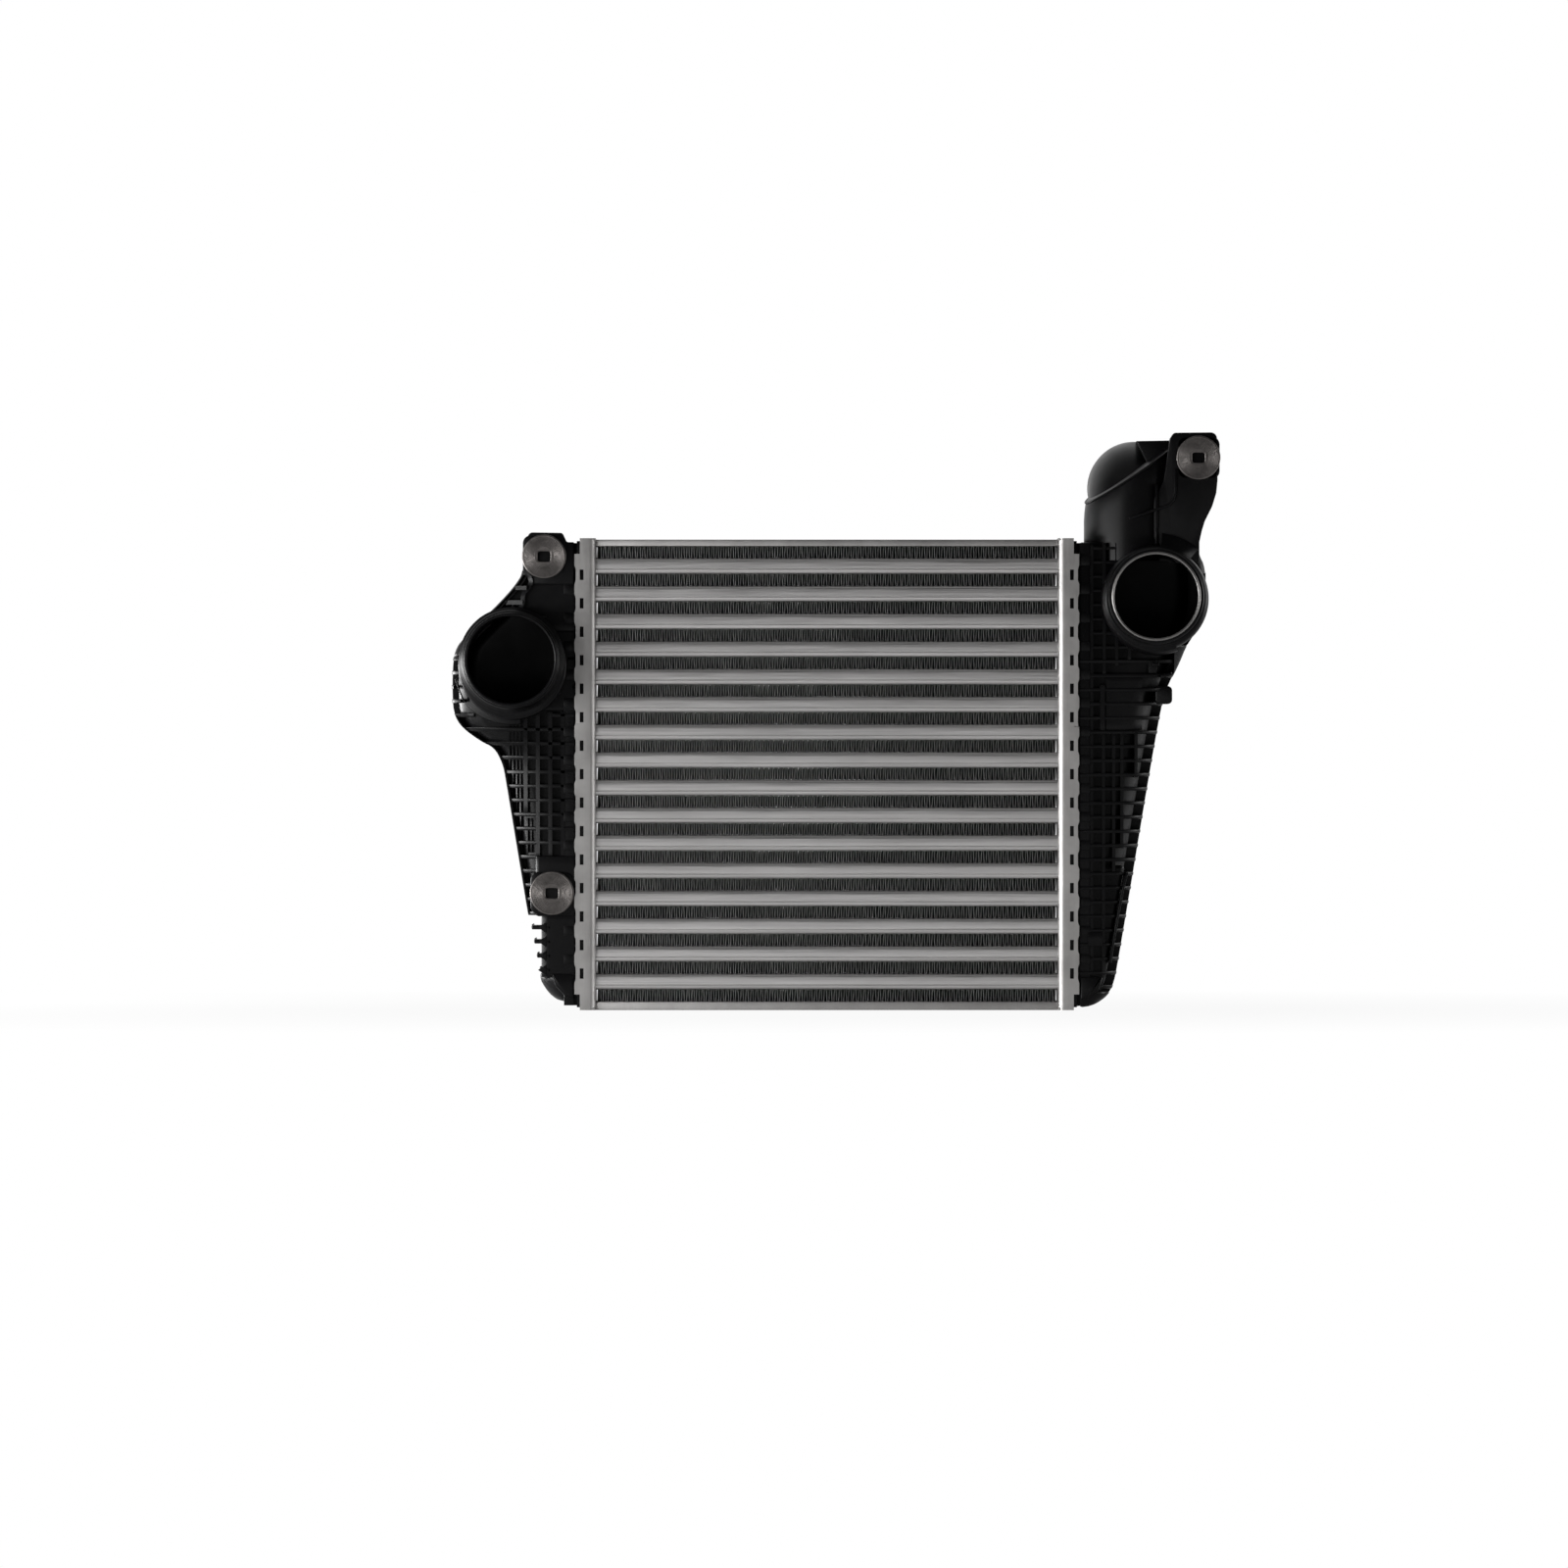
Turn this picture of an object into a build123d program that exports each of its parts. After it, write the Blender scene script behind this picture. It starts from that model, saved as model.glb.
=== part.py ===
from build123d import *
from math import cos, radians, sin
import os

# Intercooler (charge-air cooler): a brazed aluminium core between two ribbed plastic end tanks.
# X runs across the core, Y from front (-) to back (+), Z up. The origin is the middle of the
# bottom face, on which the cooler stands. "Outward" on a tank means away from the core.

# Core
core_width = 294.0
core_depth = 56.0
tube_count = 16
tube_height = 10.0
tube_pitch = 17.62
tube_nose = 2.4
tube_wall = 1.0
tube_overhang = 3.4
fin_height = tube_pitch - tube_height
fin_setback = 1.6
core_floor = 5.4
side_plate_gauge = 1.4
side_plate_top_height = 4.2

# Header plates
header_height = 300.0
header_depth = 64.0
header_gauge = 1.6
header_rise = 10.5
header_bend = 1.6
crimp_rise = 13.4
crimp_end = 10.4
crimp_lip = 4.5
slot_count = 15
slot_pitch = 18.1
slot_width = 2.4
slot_height = 6.6
slot_rise = 8.8
end_notch_height = 10.0

# Tank feet and seals
seal_thickness = 1.8
seal_width = 2.0
foot_clearance = 0.2
foot_end = 1.8
neck_half_depth = 27.2
rail_rise = 13.7
rail_width = 6.4
rail_half_depth = 30.4
rail_end = 3.0
channel_end = 9.0

# Tank sections, measured from the middle plane of the cooler
tank_slope = 0.1665
tank_reach = 60.0
left_crown = 179.9
right_crown = 180.7
rib_half_depth = 30.0
rib_corner = 6.0
wall_half_depth = 24.0
right_wall_inset = 6.6
left_cavity_inset = 5.0
right_cavity_inset = 9.1
cavity_half_depth = 21.5
cavity_corner = 4.0
spine_thickness = 3.0
rim_width = 2.4
rib_thickness = 2.2
rib_pitch = 9.0
back_rib_pitch = 18.0
left_rib_datum = 187.5
right_rib_datum = 212.7
zone_split = 167.0
left_air_top = 267.0
left_ear_bottom = 272.0
right_air_top = 289.0

# Ports
left_port = (-200.3, 222.5)
left_port_radius = 29.8
left_port_bore = 27.6
left_housing = (-199.6, 219.0)
left_housing_radius = 34.6
left_port_front = 66.0
right_port = (208.6, 262.6)
right_port_radius = 30.4
right_housing = (208.6, 261.4)
right_housing_radius = 33.8
right_port_front = 64.0
left_housing_front = 36.0
right_housing_front = 50.0
ring_radius = 28.3
right_port_bore = ring_radius + 0.05
ring_bore = 26.5
ring_length = 9.0
ring_proud = 0.8

# Rear outlet of the right tank
duct_x = 195.4
duct_radius = 31.4
duct_bottom = 286.0
duct_floor = 2.0
elbow_x = 196.8
elbow_radius = 29.6
elbow_bend = 32.0
outlet_z = 333.2
outlet_shoulder = 34.0
outlet_end = 58.0
outlet_radius = 29.0
elbow_bore = 26.8
elbow_joints = 2
sleeve_cut = Plane(origin=(193.7, 0, 343.1), z_dir=(-0.555, -0.1, 0.83))

# Mounts: a grey metal bush in a rubber grommet in each of three ears
bush_places = ((-179.7, 288.3), (-174.7, 74.4), (236.2, 351.1))
bush_head_radius = 14.0
bush_head_thickness = 2.0
bush_shank_side = 12.8
bush_bore_radius = 3.2
bush_window = (8.0, 6.4)
bush_shank_length = 15.5
ear_front = 31.7
ear_depth = 17.0
ear_floor = 2.5
ear_side = 27.0
bracket_wall = 3.0
bracket_rib = 1.5
grommet_side = 21.0
grommet_proud = 0.5
seat_clearance = 0.05

half_core = core_width / 2
half_header = header_depth / 2
tank_base = half_core + header_gauge + seal_thickness
foot_top = half_core + crimp_rise - header_gauge
rail_base = half_core + rail_rise
rail_edge = rail_base + rail_width
bend_z = outlet_z - elbow_bend
ear_back = ear_front - ear_depth
grommet_front = ear_front + grommet_proud
middle_z = header_height / 2


def tube_z(index):
    """Height of the middle of tube number index, counted from 0 at the bottom."""
    return core_floor + fin_height + tube_height / 2 + index * tube_pitch


def fin_z(index):
    """Height of the middle of fin row number index, counted from 0 at the bottom."""
    return core_floor + fin_height / 2 + index * tube_pitch


def save(part, label):
    part.label = label
    export_step(part, f"parts/{label}.step")


# ---------------------------------------------------------------------------- core
def make_tube(index):
    with BuildPart() as tube:
        with BuildSketch(Plane.YZ.offset(-half_core - tube_overhang)):
            with Locations((0, tube_z(index))):
                outer = Rectangle(core_depth, tube_height)
            chamfer(outer.vertices(), length=tube_nose)
            with Locations((0, tube_z(index))):
                Rectangle(core_depth - 2 * tube_nose, tube_height - 2 * tube_wall, mode=Mode.SUBTRACT)
        extrude(amount=core_width + 2 * tube_overhang)
    return tube.part


def make_fin(index):
    with BuildPart() as fin:
        with Locations((0, 0, fin_z(index))):
            Box(core_width, core_depth - 2 * fin_setback, fin_height)
    return fin.part


def make_side_plate(inner_z, outer_z):
    """A tray pressed from sheet: its web lies on the last fin row, its rim points outward."""
    outward = 1 if outer_z > inner_z else -1
    web_z = inner_z + outward * side_plate_gauge
    with BuildPart() as plate:
        with Locations((0, 0, (inner_z + outer_z) / 2)):
            Box(core_width, core_depth, abs(outer_z - inner_z))
        with Locations((0, 0, (web_z + outer_z) / 2)):
            Box(
                core_width - 2 * side_plate_gauge,
                core_depth - 2 * side_plate_gauge,
                abs(outer_z - web_z),
                mode=Mode.SUBTRACT,
            )
    return plate.part


# ---------------------------------------------------------------------------- header plates
def make_header(side):
    """A pressed tray around the tube ends. Its front and back walls are slotted and crimped."""
    rim = side * (half_core + header_rise)
    floor = side * (half_core + header_gauge)
    inner_depth = half_header - header_gauge
    with BuildPart() as header:
        with BuildSketch(Plane.XY):
            with BuildLine():
                Polyline(
                    (rim, -half_header),
                    (side * (half_core + header_bend), -half_header),
                    (side * half_core, header_bend - half_header),
                    (side * half_core, half_header - header_bend),
                    (side * (half_core + header_bend), half_header),
                    (rim, half_header),
                    (rim, inner_depth),
                    (floor, inner_depth),
                    (floor, -inner_depth),
                    (rim, -inner_depth),
                    close=True,
                )
            make_face()
        extrude(amount=header_height)
        # end walls of the tray
        for z in (0, header_height - header_gauge):
            with BuildSketch(Plane.XY.offset(z)):
                with Locations((side * (half_core + header_rise / 2), 0)):
                    Rectangle(header_rise, 2 * inner_depth)
            extrude(amount=header_gauge)
        # crimped strips, folded over the tank's foot
        with BuildSketch(Plane.XY.offset(crimp_end)):
            for front in (-1, 1):
                with BuildLine():
                    Polyline(
                        (rim, front * half_header),
                        (side * (half_core + crimp_rise), front * half_header),
                        (side * (half_core + crimp_rise), front * (half_header - crimp_lip)),
                        (side * foot_top, front * (half_header - crimp_lip)),
                        (side * foot_top, front * inner_depth),
                        (rim, front * inner_depth),
                        close=True,
                    )
                make_face()
        extrude(amount=header_height - 2 * crimp_end)
        # tube holes
        with BuildSketch(Plane.YZ.offset(side * half_core)):
            for index in range(tube_count):
                with Locations((0, tube_z(index))):
                    Rectangle(core_depth, tube_height)
        extrude(amount=side * header_gauge, mode=Mode.SUBTRACT)
        # crimp windows through the front and back walls, and the open notches at both ends
        with BuildSketch(Plane.XZ):
            with Locations((side * (half_core + slot_rise), middle_z)):
                with GridLocations(0, slot_pitch, 1, slot_count):
                    Rectangle(slot_width, slot_height)
            for z in (0, header_height):
                with Locations((rim, z)):
                    Rectangle(2 * slot_width, 2 * end_notch_height)
        extrude(amount=header_depth, both=True, mode=Mode.SUBTRACT)
    return header.part


def make_seal(side):
    length = header_height - 2 * header_gauge - 2 * foot_clearance
    width = header_depth - 2 * header_gauge - 2 * foot_clearance
    with BuildPart() as seal:
        with BuildSketch(Plane.YZ.offset(side * (half_core + header_gauge))):
            with Locations((0, middle_z)):
                Rectangle(width, length)
                Rectangle(width - 2 * seal_width, length - 2 * seal_width, mode=Mode.SUBTRACT)
        extrude(amount=side * seal_thickness)
    return seal.part


# ---------------------------------------------------------------------------- end tanks
def left_outline():
    """Front outline of the left tank's ribs; it runs on inward past the header."""
    with BuildSketch(Plane.XZ) as outline:
        with BuildLine():
            Polyline(
                (-130, 4.4),
                (-164, 4.4),
                (-171, 5.8),
                (-178, 11.6),
                (-183.8, 22),
                (-204.4, 147),
                (-206.4, 157),
                (-211.6, 166.9),
                (-220.3, 170.9),
                (-232.3, 179.7),
                (-237.1, 187.7),
                (-238.6, 195),
                (-238.6, 219),
                (-236.6, 229),
                (-232.4, 235.6),
                (-205.9, 261),
                (-194.8, 274.6),
                (-192.4, 282),
                (-189.6, 303.8),
                (-168, 303.4),
                (-165.3, 298),
                (-130, 298),
                close=True,
            )
        make_face()
    return outline.sketch


def right_outline():
    """Front outline of the right tank's ribs; it runs on inward past the header."""
    with BuildSketch(Plane.XZ) as outline:
        with BuildLine():
            Polyline(
                (130, 1.8),
                (166, 1.8),
                (172, 4.2),
                (178, 8.4),
                (182.4, 14.6),
                (185.4, 27.4),
                (212.9, 193.8),
                (217.8, 207.2),
                (224.7, 221),
                (229, 232),
                (239, 246),
                (241.6, 262),
                (241, 282),
                (236.8, 290),
                (236.8, 297.5),
                (130, 297.5),
                close=True,
            )
        make_face()
    return outline.sketch


def bracket_outline():
    """Front outline of the ear plate beside the rear outlet."""
    with BuildSketch(Plane.XZ) as outline:
        with BuildLine():
            Polyline(
                (214, 336),
                (218.1, 363.3),
                (220.5, 367),
                (248, 367.3),
                (248.4, 337),
                (247.6, 328.8),
                (245, 320.3),
                (240.2, 310.6),
                (238.4, 304.8),
                (236.8, 297.5),
                (236.8, 284),
                (222, 284),
                (208, 300),
                (208, 325),
                close=True,
            )
        make_face()
    return outline.sketch


def upright_bar(x, low, high):
    with Locations((x, (low + high) / 2)):
        Rectangle(rib_thickness, high - low, mode=Mode.SUBTRACT)


def level_bars(datum, x, reach, pitch):
    """Level ribs at the given pitch all the way up the tank, one of them at the datum height."""
    rows_below = int(datum // pitch)
    rows = int(header_height // pitch)
    with Locations(*[(x, datum + pitch * (row - rows_below)) for row in range(rows)]):
        Rectangle(reach, rib_thickness, mode=Mode.SUBTRACT)


def plain_panel(x_low, x_high, z_low, z_high):
    """A stretch of the front with no pockets."""
    with Locations(((x_low + x_high) / 2, (z_low + z_high) / 2)):
        Rectangle(x_high - x_low, z_high - z_low, mode=Mode.SUBTRACT)


def left_pockets(front):
    """Gaps between the ribs on the front or the back of the left tank, in front view."""
    with BuildSketch(Plane.XZ) as pockets:
        add(left_outline())
        offset(amount=-rim_width, kind=Kind.INTERSECTION, mode=Mode.REPLACE)
        plain_panel(-rail_edge, -100, 0, 330)
        plain_panel(-187, -100, 203, 330)
        plain_panel(-240, -100, 240, 330)
        plain_panel(-184.5, -100, 0, 98)
        plain_panel(-240, -100, 0, 60)
        level_bars(left_rib_datum, -200, 100, rib_pitch if front else back_rib_pitch)
        if front:
            upright_bar(-175.8, 98, 203)
            upright_bar(-183.5, 98, 203)
            upright_bar(-191.3, 125, 187)
    return pockets.sketch


def left_comb():
    """Open gaps between the short ribs at the foot of the left tank, in front view."""
    with BuildSketch(Plane.XZ) as comb:
        with Locations((-188, 41)):
            Rectangle(15, 36)
        level_bars(left_rib_datum, -188, 20, rib_pitch)
    return comb.sketch


def right_pockets(front):
    """Gaps between the ribs on the front or the back of the right tank, in front view."""
    with BuildSketch(Plane.XZ) as pockets:
        add(right_outline())
        offset(amount=-rim_width, kind=Kind.INTERSECTION, mode=Mode.REPLACE)
        with Locations((220, 122)):
            Rectangle(80, 180)
        plain_panel(100, rail_edge, 0, 330)
        plain_panel(172.8, 192.8, 178, 206)
        plain_panel(221, 260, 212, 297)
        plain_panel(100, 260, 224 if front else 178, 330)
        level_bars(right_rib_datum, 210, 100, rib_pitch if front else back_rib_pitch)
    return pockets.sketch


def tank_form(outline, side, crown, inset, half_depth, corner, base):
    """The outline, drawn in by inset, as a body chamfered along its slanted outer edges."""
    slanted = Plane(
        origin=(side * (crown - inset), 0, 0),
        x_dir=(side, 0, -tank_slope),
        z_dir=(side * tank_slope, 0, 1),
    )
    with BuildPart() as keep:
        with BuildSketch(slanted.offset(-tank_reach)) as section:
            with Locations((-tank_reach, 0)):
                Rectangle(2 * tank_reach, 2 * half_depth)
            if corner:
                chamfer(section.vertices().group_by(Axis.X)[-1], length=corner)
        extrude(amount=tank_reach + header_height)
        with BuildSketch(Plane.XY.offset(zone_split)):
            with Locations((side * (half_core + tank_reach), 0)):
                Rectangle(2 * tank_reach, 2 * half_depth)
        extrude(amount=header_height)
    with BuildPart() as form:
        with BuildSketch(Plane.XZ):
            add(outline)
            if inset:
                offset(amount=-inset, kind=Kind.INTERSECTION, mode=Mode.REPLACE)
            Rectangle(2 * base, 4 * header_height, mode=Mode.SUBTRACT)
        extrude(amount=half_depth, both=True)
        add(keep.part, mode=Mode.INTERSECT)
    return form.part


def cut_pockets(body, floor, front_pockets, back_pockets):
    """The body with the gaps between its ribs cut from front and back down to the floor depth."""
    with BuildPart() as cut:
        add(body)
        extrude(front_pockets.moved(Location((0, -floor, 0))), amount=rib_half_depth, mode=Mode.SUBTRACT)
        extrude(back_pockets.moved(Location((0, floor, 0))), amount=-rib_half_depth, mode=Mode.SUBTRACT)
    return cut.part


def make_air_space(outline, side, crown, inset, top):
    """The space inside a tank, with the full-height channel over the tube ends."""
    with BuildPart() as air:
        add(tank_form(outline, side, crown, inset, cavity_half_depth, cavity_corner, tank_base))
        split(bisect_by=Plane.XY.offset(top), keep=Keep.BOTTOM)
        with BuildSketch(Plane.YZ.offset(side * tank_base)):
            with Locations((0, middle_z)):
                Rectangle(2 * cavity_half_depth, header_height - 2 * channel_end)
        extrude(amount=side * (rail_edge - tank_base))
    return air.part


def make_foot(side):
    """The flange held in the header plate, the narrow neck under the crimp and the rail above it."""
    steps = (
        (tank_base, foot_top, half_header - header_gauge - foot_clearance, foot_end),
        (foot_top, rail_base, neck_half_depth, rail_end),
        (rail_base, rail_edge, rail_half_depth, rail_end),
    )
    with BuildPart() as foot:
        for start, stop, half_depth, end in steps:
            with BuildSketch(Plane.YZ.offset(side * start)):
                with Locations((0, middle_z)):
                    Rectangle(2 * half_depth, header_height - 2 * end)
            extrude(amount=side * (stop - start))
    return foot.part


def make_ear_bosses(places):
    with BuildPart() as bosses:
        with BuildSketch(Plane.XZ.offset(ear_back - ear_floor)):
            with Locations(*places):
                Rectangle(ear_side, ear_side)
        extrude(amount=ear_depth + ear_floor)
    return bosses.part


def make_ear_seats(places):
    with BuildPart() as seats:
        with BuildSketch(Plane.XZ.offset(ear_back)):
            with Locations(*places):
                Rectangle(grommet_side + 2 * seat_clearance, grommet_side + 2 * seat_clearance)
        extrude(amount=2 * ear_depth)
    return seats.part


def make_housing(centre, radius, front):
    """The round body behind a front port."""
    with BuildPart() as housing:
        with BuildSketch(Plane.XZ.offset(-wall_half_depth)):
            with Locations(centre):
                Circle(radius)
        extrude(amount=wall_half_depth + front)
    return housing.part


def make_front_tube(centre, radius, front):
    with BuildPart() as tube:
        with BuildSketch(Plane.XZ):
            with Locations(centre):
                Circle(radius)
        extrude(amount=front)
    return tube.part


def make_tank_left():
    outline = left_outline()
    envelope = tank_form(outline, -1, left_crown, 0, rib_half_depth, rib_corner, rail_base)
    with BuildPart() as tank:
        add(cut_pockets(envelope, wall_half_depth, left_pockets(True), left_pockets(False)))
        extrude(left_comb(), amount=rib_half_depth, both=True, mode=Mode.SUBTRACT)
        # behind the top ear there is only the ear's own plate
        with BuildSketch(Plane.XZ.offset(-rib_half_depth)):
            with Locations((-rail_edge, left_ear_bottom)):
                Rectangle(2 * rail_edge, header_height, align=(Align.MAX, Align.MIN))
        extrude(amount=rib_half_depth + ear_back - ear_floor, mode=Mode.SUBTRACT)
        add(make_foot(-1))
        add(make_housing(left_housing, left_housing_radius, left_housing_front))
        add(make_front_tube(left_port, left_port_radius, left_port_front))
        add(make_air_space(outline, -1, left_crown, left_cavity_inset, left_air_top), mode=Mode.SUBTRACT)
        add(make_front_tube(left_port, left_port_bore, 2 * left_port_front), mode=Mode.SUBTRACT)
        add(make_ear_bosses(bush_places[:2]))
        add(make_ear_seats(bush_places[:2]), mode=Mode.SUBTRACT)
    return tank.part


def make_elbow(radius, bottom):
    """The duct that rises from the tank and bends to the back, mitred at each joint."""
    step = 90 / elbow_joints
    bend = [
        (
            elbow_bend - elbow_bend * cos(radians(step * (joint + 0.5))) / cos(radians(step / 2)),
            bend_z + elbow_bend * sin(radians(step * (joint + 0.5))) / cos(radians(step / 2)),
        )
        for joint in range(elbow_joints)
    ]
    with BuildPart() as elbow:
        with BuildLine() as path:
            Polyline(
                (elbow_x, 0, bottom),
                *[(elbow_x, y, z) for y, z in bend],
                (elbow_x, outlet_shoulder, outlet_z),
            )
        with BuildSketch(Plane(origin=(elbow_x, 0, bottom), x_dir=(0, 1, 0), z_dir=(0, 0, 1))):
            Circle(radius)
        sweep(path=path.wires()[0], transition=Transition.RIGHT)
    return elbow.part


def make_outlet(radius):
    """The straight hose spigot at the end of the rear outlet."""
    with BuildPart() as outlet:
        with BuildSketch(Plane.XZ.offset(-outlet_end)):
            with Locations((elbow_x, outlet_z)):
                Circle(radius)
        extrude(amount=outlet_end - outlet_shoulder)
    return outlet.part


def make_sleeve():
    """The round collar of the duct, cut off at a slant at its top."""
    with BuildPart() as sleeve:
        with BuildSketch(Plane.XY.offset(duct_bottom)):
            with Locations((duct_x, 0)):
                Circle(duct_radius)
        extrude(amount=header_height)
        split(bisect_by=sleeve_cut, keep=Keep.BOTTOM)
    return sleeve.part


def make_bracket():
    """The ear plate beside the rear outlet, hollowed from behind, with its stiffening ribs."""
    outline = bracket_outline()
    with BuildPart() as bracket:
        extrude(outline.moved(Location((0, -ear_back, 0))), amount=ear_depth)
        with BuildSketch(Plane.XZ.offset(ear_back)):
            add(outline)
            offset(amount=-bracket_wall, kind=Kind.INTERSECTION, mode=Mode.REPLACE)
        extrude(amount=ear_depth - bracket_wall, mode=Mode.SUBTRACT)
        with BuildSketch(Plane.XZ.offset(ear_back)):
            with BuildLine():
                Polyline((190, 312.6), (217.8, 322.1), (221, 326), (221, 345))
            trace(line_width=rib_thickness)
            with Locations((209, 316)):
                Rectangle(rib_thickness, 32)
        extrude(amount=ear_depth + bracket_rib)
    return bracket.part


def make_tank_right():
    outline = right_outline()
    envelope = tank_form(outline, 1, right_crown, 0, rib_half_depth, rib_corner, rail_base)
    wall = tank_form(outline, 1, right_crown, right_wall_inset, wall_half_depth, 0, rail_base)
    with BuildPart() as tank:
        add(cut_pockets(envelope, spine_thickness / 2, right_pockets(True), right_pockets(False)))
        add(wall)
        add(make_foot(1))
        add(make_sleeve())
        add(make_elbow(elbow_radius, duct_bottom))
        add(make_outlet(outlet_radius))
        add(make_bracket())
        add(make_housing(right_housing, right_housing_radius, right_housing_front))
        add(make_front_tube(right_port, right_port_radius, right_port_front))
        add(make_air_space(outline, 1, right_crown, right_cavity_inset, right_air_top), mode=Mode.SUBTRACT)
        add(make_elbow(elbow_bore, duct_bottom + duct_floor), mode=Mode.SUBTRACT)
        add(make_outlet(elbow_bore), mode=Mode.SUBTRACT)
        add(make_front_tube(right_port, right_port_bore, 2 * right_port_front), mode=Mode.SUBTRACT)
        add(make_ear_bosses(bush_places[2:]))
        add(make_ear_seats(bush_places[2:]), mode=Mode.SUBTRACT)
    return tank.part


def make_ring():
    with BuildPart() as ring:
        with BuildSketch(Plane.XZ.offset(right_port_front + ring_proud - ring_length)):
            with Locations(right_port):
                Circle(ring_radius)
                Circle(ring_bore, mode=Mode.SUBTRACT)
        extrude(amount=ring_length)
    return ring.part


# ---------------------------------------------------------------------------- mounts
def make_bushes():
    """Three bushes: a square shank with a round bore, and a disc head with an oblong window."""
    with BuildPart() as bushes:
        with BuildSketch(Plane.XZ.offset(grommet_front - bush_shank_length)):
            with Locations(*bush_places):
                Rectangle(bush_shank_side, bush_shank_side)
                Circle(bush_bore_radius, mode=Mode.SUBTRACT)
        extrude(amount=bush_shank_length)
        with BuildSketch(Plane.XZ.offset(grommet_front)):
            with Locations(*bush_places):
                Circle(bush_head_radius)
                Rectangle(*bush_window, mode=Mode.SUBTRACT)
        extrude(amount=bush_head_thickness)
    return bushes.part


def make_grommets():
    with BuildPart() as grommets:
        with BuildSketch(Plane.XZ.offset(ear_back)):
            with Locations(*bush_places):
                Rectangle(grommet_side, grommet_side)
                Rectangle(bush_shank_side + 0.1, bush_shank_side + 0.1, mode=Mode.SUBTRACT)
        extrude(amount=ear_depth + grommet_proud)
    return grommets.part


def main():
    os.makedirs("parts", exist_ok=True)
    for index in range(tube_count):
        save(make_tube(index), f"tube_{index + 1:02d}")
    for index in range(tube_count + 1):
        save(make_fin(index), f"fin_{index + 1:02d}")
    core_top = fin_z(tube_count) + fin_height / 2
    save(make_side_plate(core_floor, 0), "side_plate_bottom")
    save(make_side_plate(core_top, core_top + side_plate_top_height), "side_plate_top")
    for side, name in ((-1, "left"), (1, "right")):
        save(make_header(side), f"header_{name}")
        save(make_seal(side), f"seal_{name}")
    save(make_tank_left(), "tank_left")
    save(make_tank_right(), "tank_right")
    save(make_ring(), "port_ring")
    save(make_bushes(), "mount_bushes")
    save(make_grommets(), "mount_grommets")


main()
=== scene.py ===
import math
import random

import bmesh
import bpy
from mathutils import Matrix, Vector


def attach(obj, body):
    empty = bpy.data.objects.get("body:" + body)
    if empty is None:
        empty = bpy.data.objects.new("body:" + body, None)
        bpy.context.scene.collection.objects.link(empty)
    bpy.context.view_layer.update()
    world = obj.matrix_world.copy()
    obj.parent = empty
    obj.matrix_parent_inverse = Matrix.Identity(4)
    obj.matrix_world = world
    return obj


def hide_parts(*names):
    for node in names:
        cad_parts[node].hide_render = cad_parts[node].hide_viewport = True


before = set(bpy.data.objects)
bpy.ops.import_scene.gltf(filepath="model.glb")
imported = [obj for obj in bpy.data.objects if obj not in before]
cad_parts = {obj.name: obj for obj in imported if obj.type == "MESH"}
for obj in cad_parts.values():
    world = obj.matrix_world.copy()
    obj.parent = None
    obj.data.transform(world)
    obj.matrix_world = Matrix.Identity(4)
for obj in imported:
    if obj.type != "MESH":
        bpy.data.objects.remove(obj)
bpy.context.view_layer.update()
scene = bpy.context.scene
MM = 0.001
FAR = 400.0  # mm, beyond every edge, so that a section runs out to its envelope


# ---------------------------------------------------------------- meshes
class Shells:
    """Collects the closed shells of one piece, in millimetres."""

    def __init__(self):
        self.verts = []
        self.faces = []

    def loft(self, loops, closed=False):
        """Joins loops of equally many points; the two ends are capped, or joined when closed."""
        count = len(loops[0])
        base = len(self.verts)
        for loop in loops:
            self.verts.extend(loop)
        rows = len(loops)
        for row in range(rows if closed else rows - 1):
            low = base + row * count
            high = base + ((row + 1) % rows) * count
            for i in range(count):
                j = (i + 1) % count
                self.faces.append((low + i, low + j, high + j, high + i))
        if not closed:
            self.faces.append(tuple(base + i for i in reversed(range(count))))
            last = base + (rows - 1) * count
            self.faces.append(tuple(last + i for i in range(count)))

    def stack(self, steps, closed=False):
        """Lofts (x, z) outlines of equally many points, each at its own y."""
        self.loft([[(x, y, z) for x, z in line] for line, y in steps], closed)

    def prism(self, outline, front, back, bevel=0.4):
        """A plate with the (x, z) outline between y = front and y = back, its edges rounded."""
        steps = [(inset_outline(outline, inset), rise) for inset, rise in rounding(bevel)]
        front_steps = [(line, front + rise) for line, rise in steps]
        self.stack(front_steps + [(line, back - rise) for line, rise in reversed(steps)])

    def lathe(self, centre, profile, count=96):
        """Turns a closed (radius, y) profile about a level axis through centre (x, z)."""
        self.loft([turned(centre, profile, turn) for turn in full_turn(count)], closed=True)

    def sector(self, centre, profile, start, stop, count=28):
        """Part of a turned form: a closed (radius, y) profile swept between two angles in degrees."""
        turns = [math.radians(start + (stop - start) * k / count) for k in range(count + 1)]
        self.loft([turned(centre, profile, turn) for turn in turns])

    def block(self, corner, opposite, bevel=0.4):
        """A box between two opposite corners."""
        (x0, x1), (y0, y1), (z0, z1) = (sorted(pair) for pair in zip(corner, opposite))
        self.prism([(x0, z0), (x1, z0), (x1, z1), (x0, z1)], y0, y1, bevel)

    def mesh(self, name):
        mesh = bpy.data.meshes.new(name)
        mesh.from_pydata([(x * MM, y * MM, z * MM) for x, y, z in self.verts], [], self.faces)
        work = bmesh.new()
        work.from_mesh(mesh)
        bmesh.ops.remove_doubles(work, verts=work.verts, dist=1e-7)
        bmesh.ops.recalc_face_normals(work, faces=work.faces)
        work.to_mesh(mesh)
        work.free()
        return mesh


def full_turn(count):
    """Evenly spread angles of a full turn."""
    return [2 * math.pi * k / count for k in range(count)]


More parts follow.
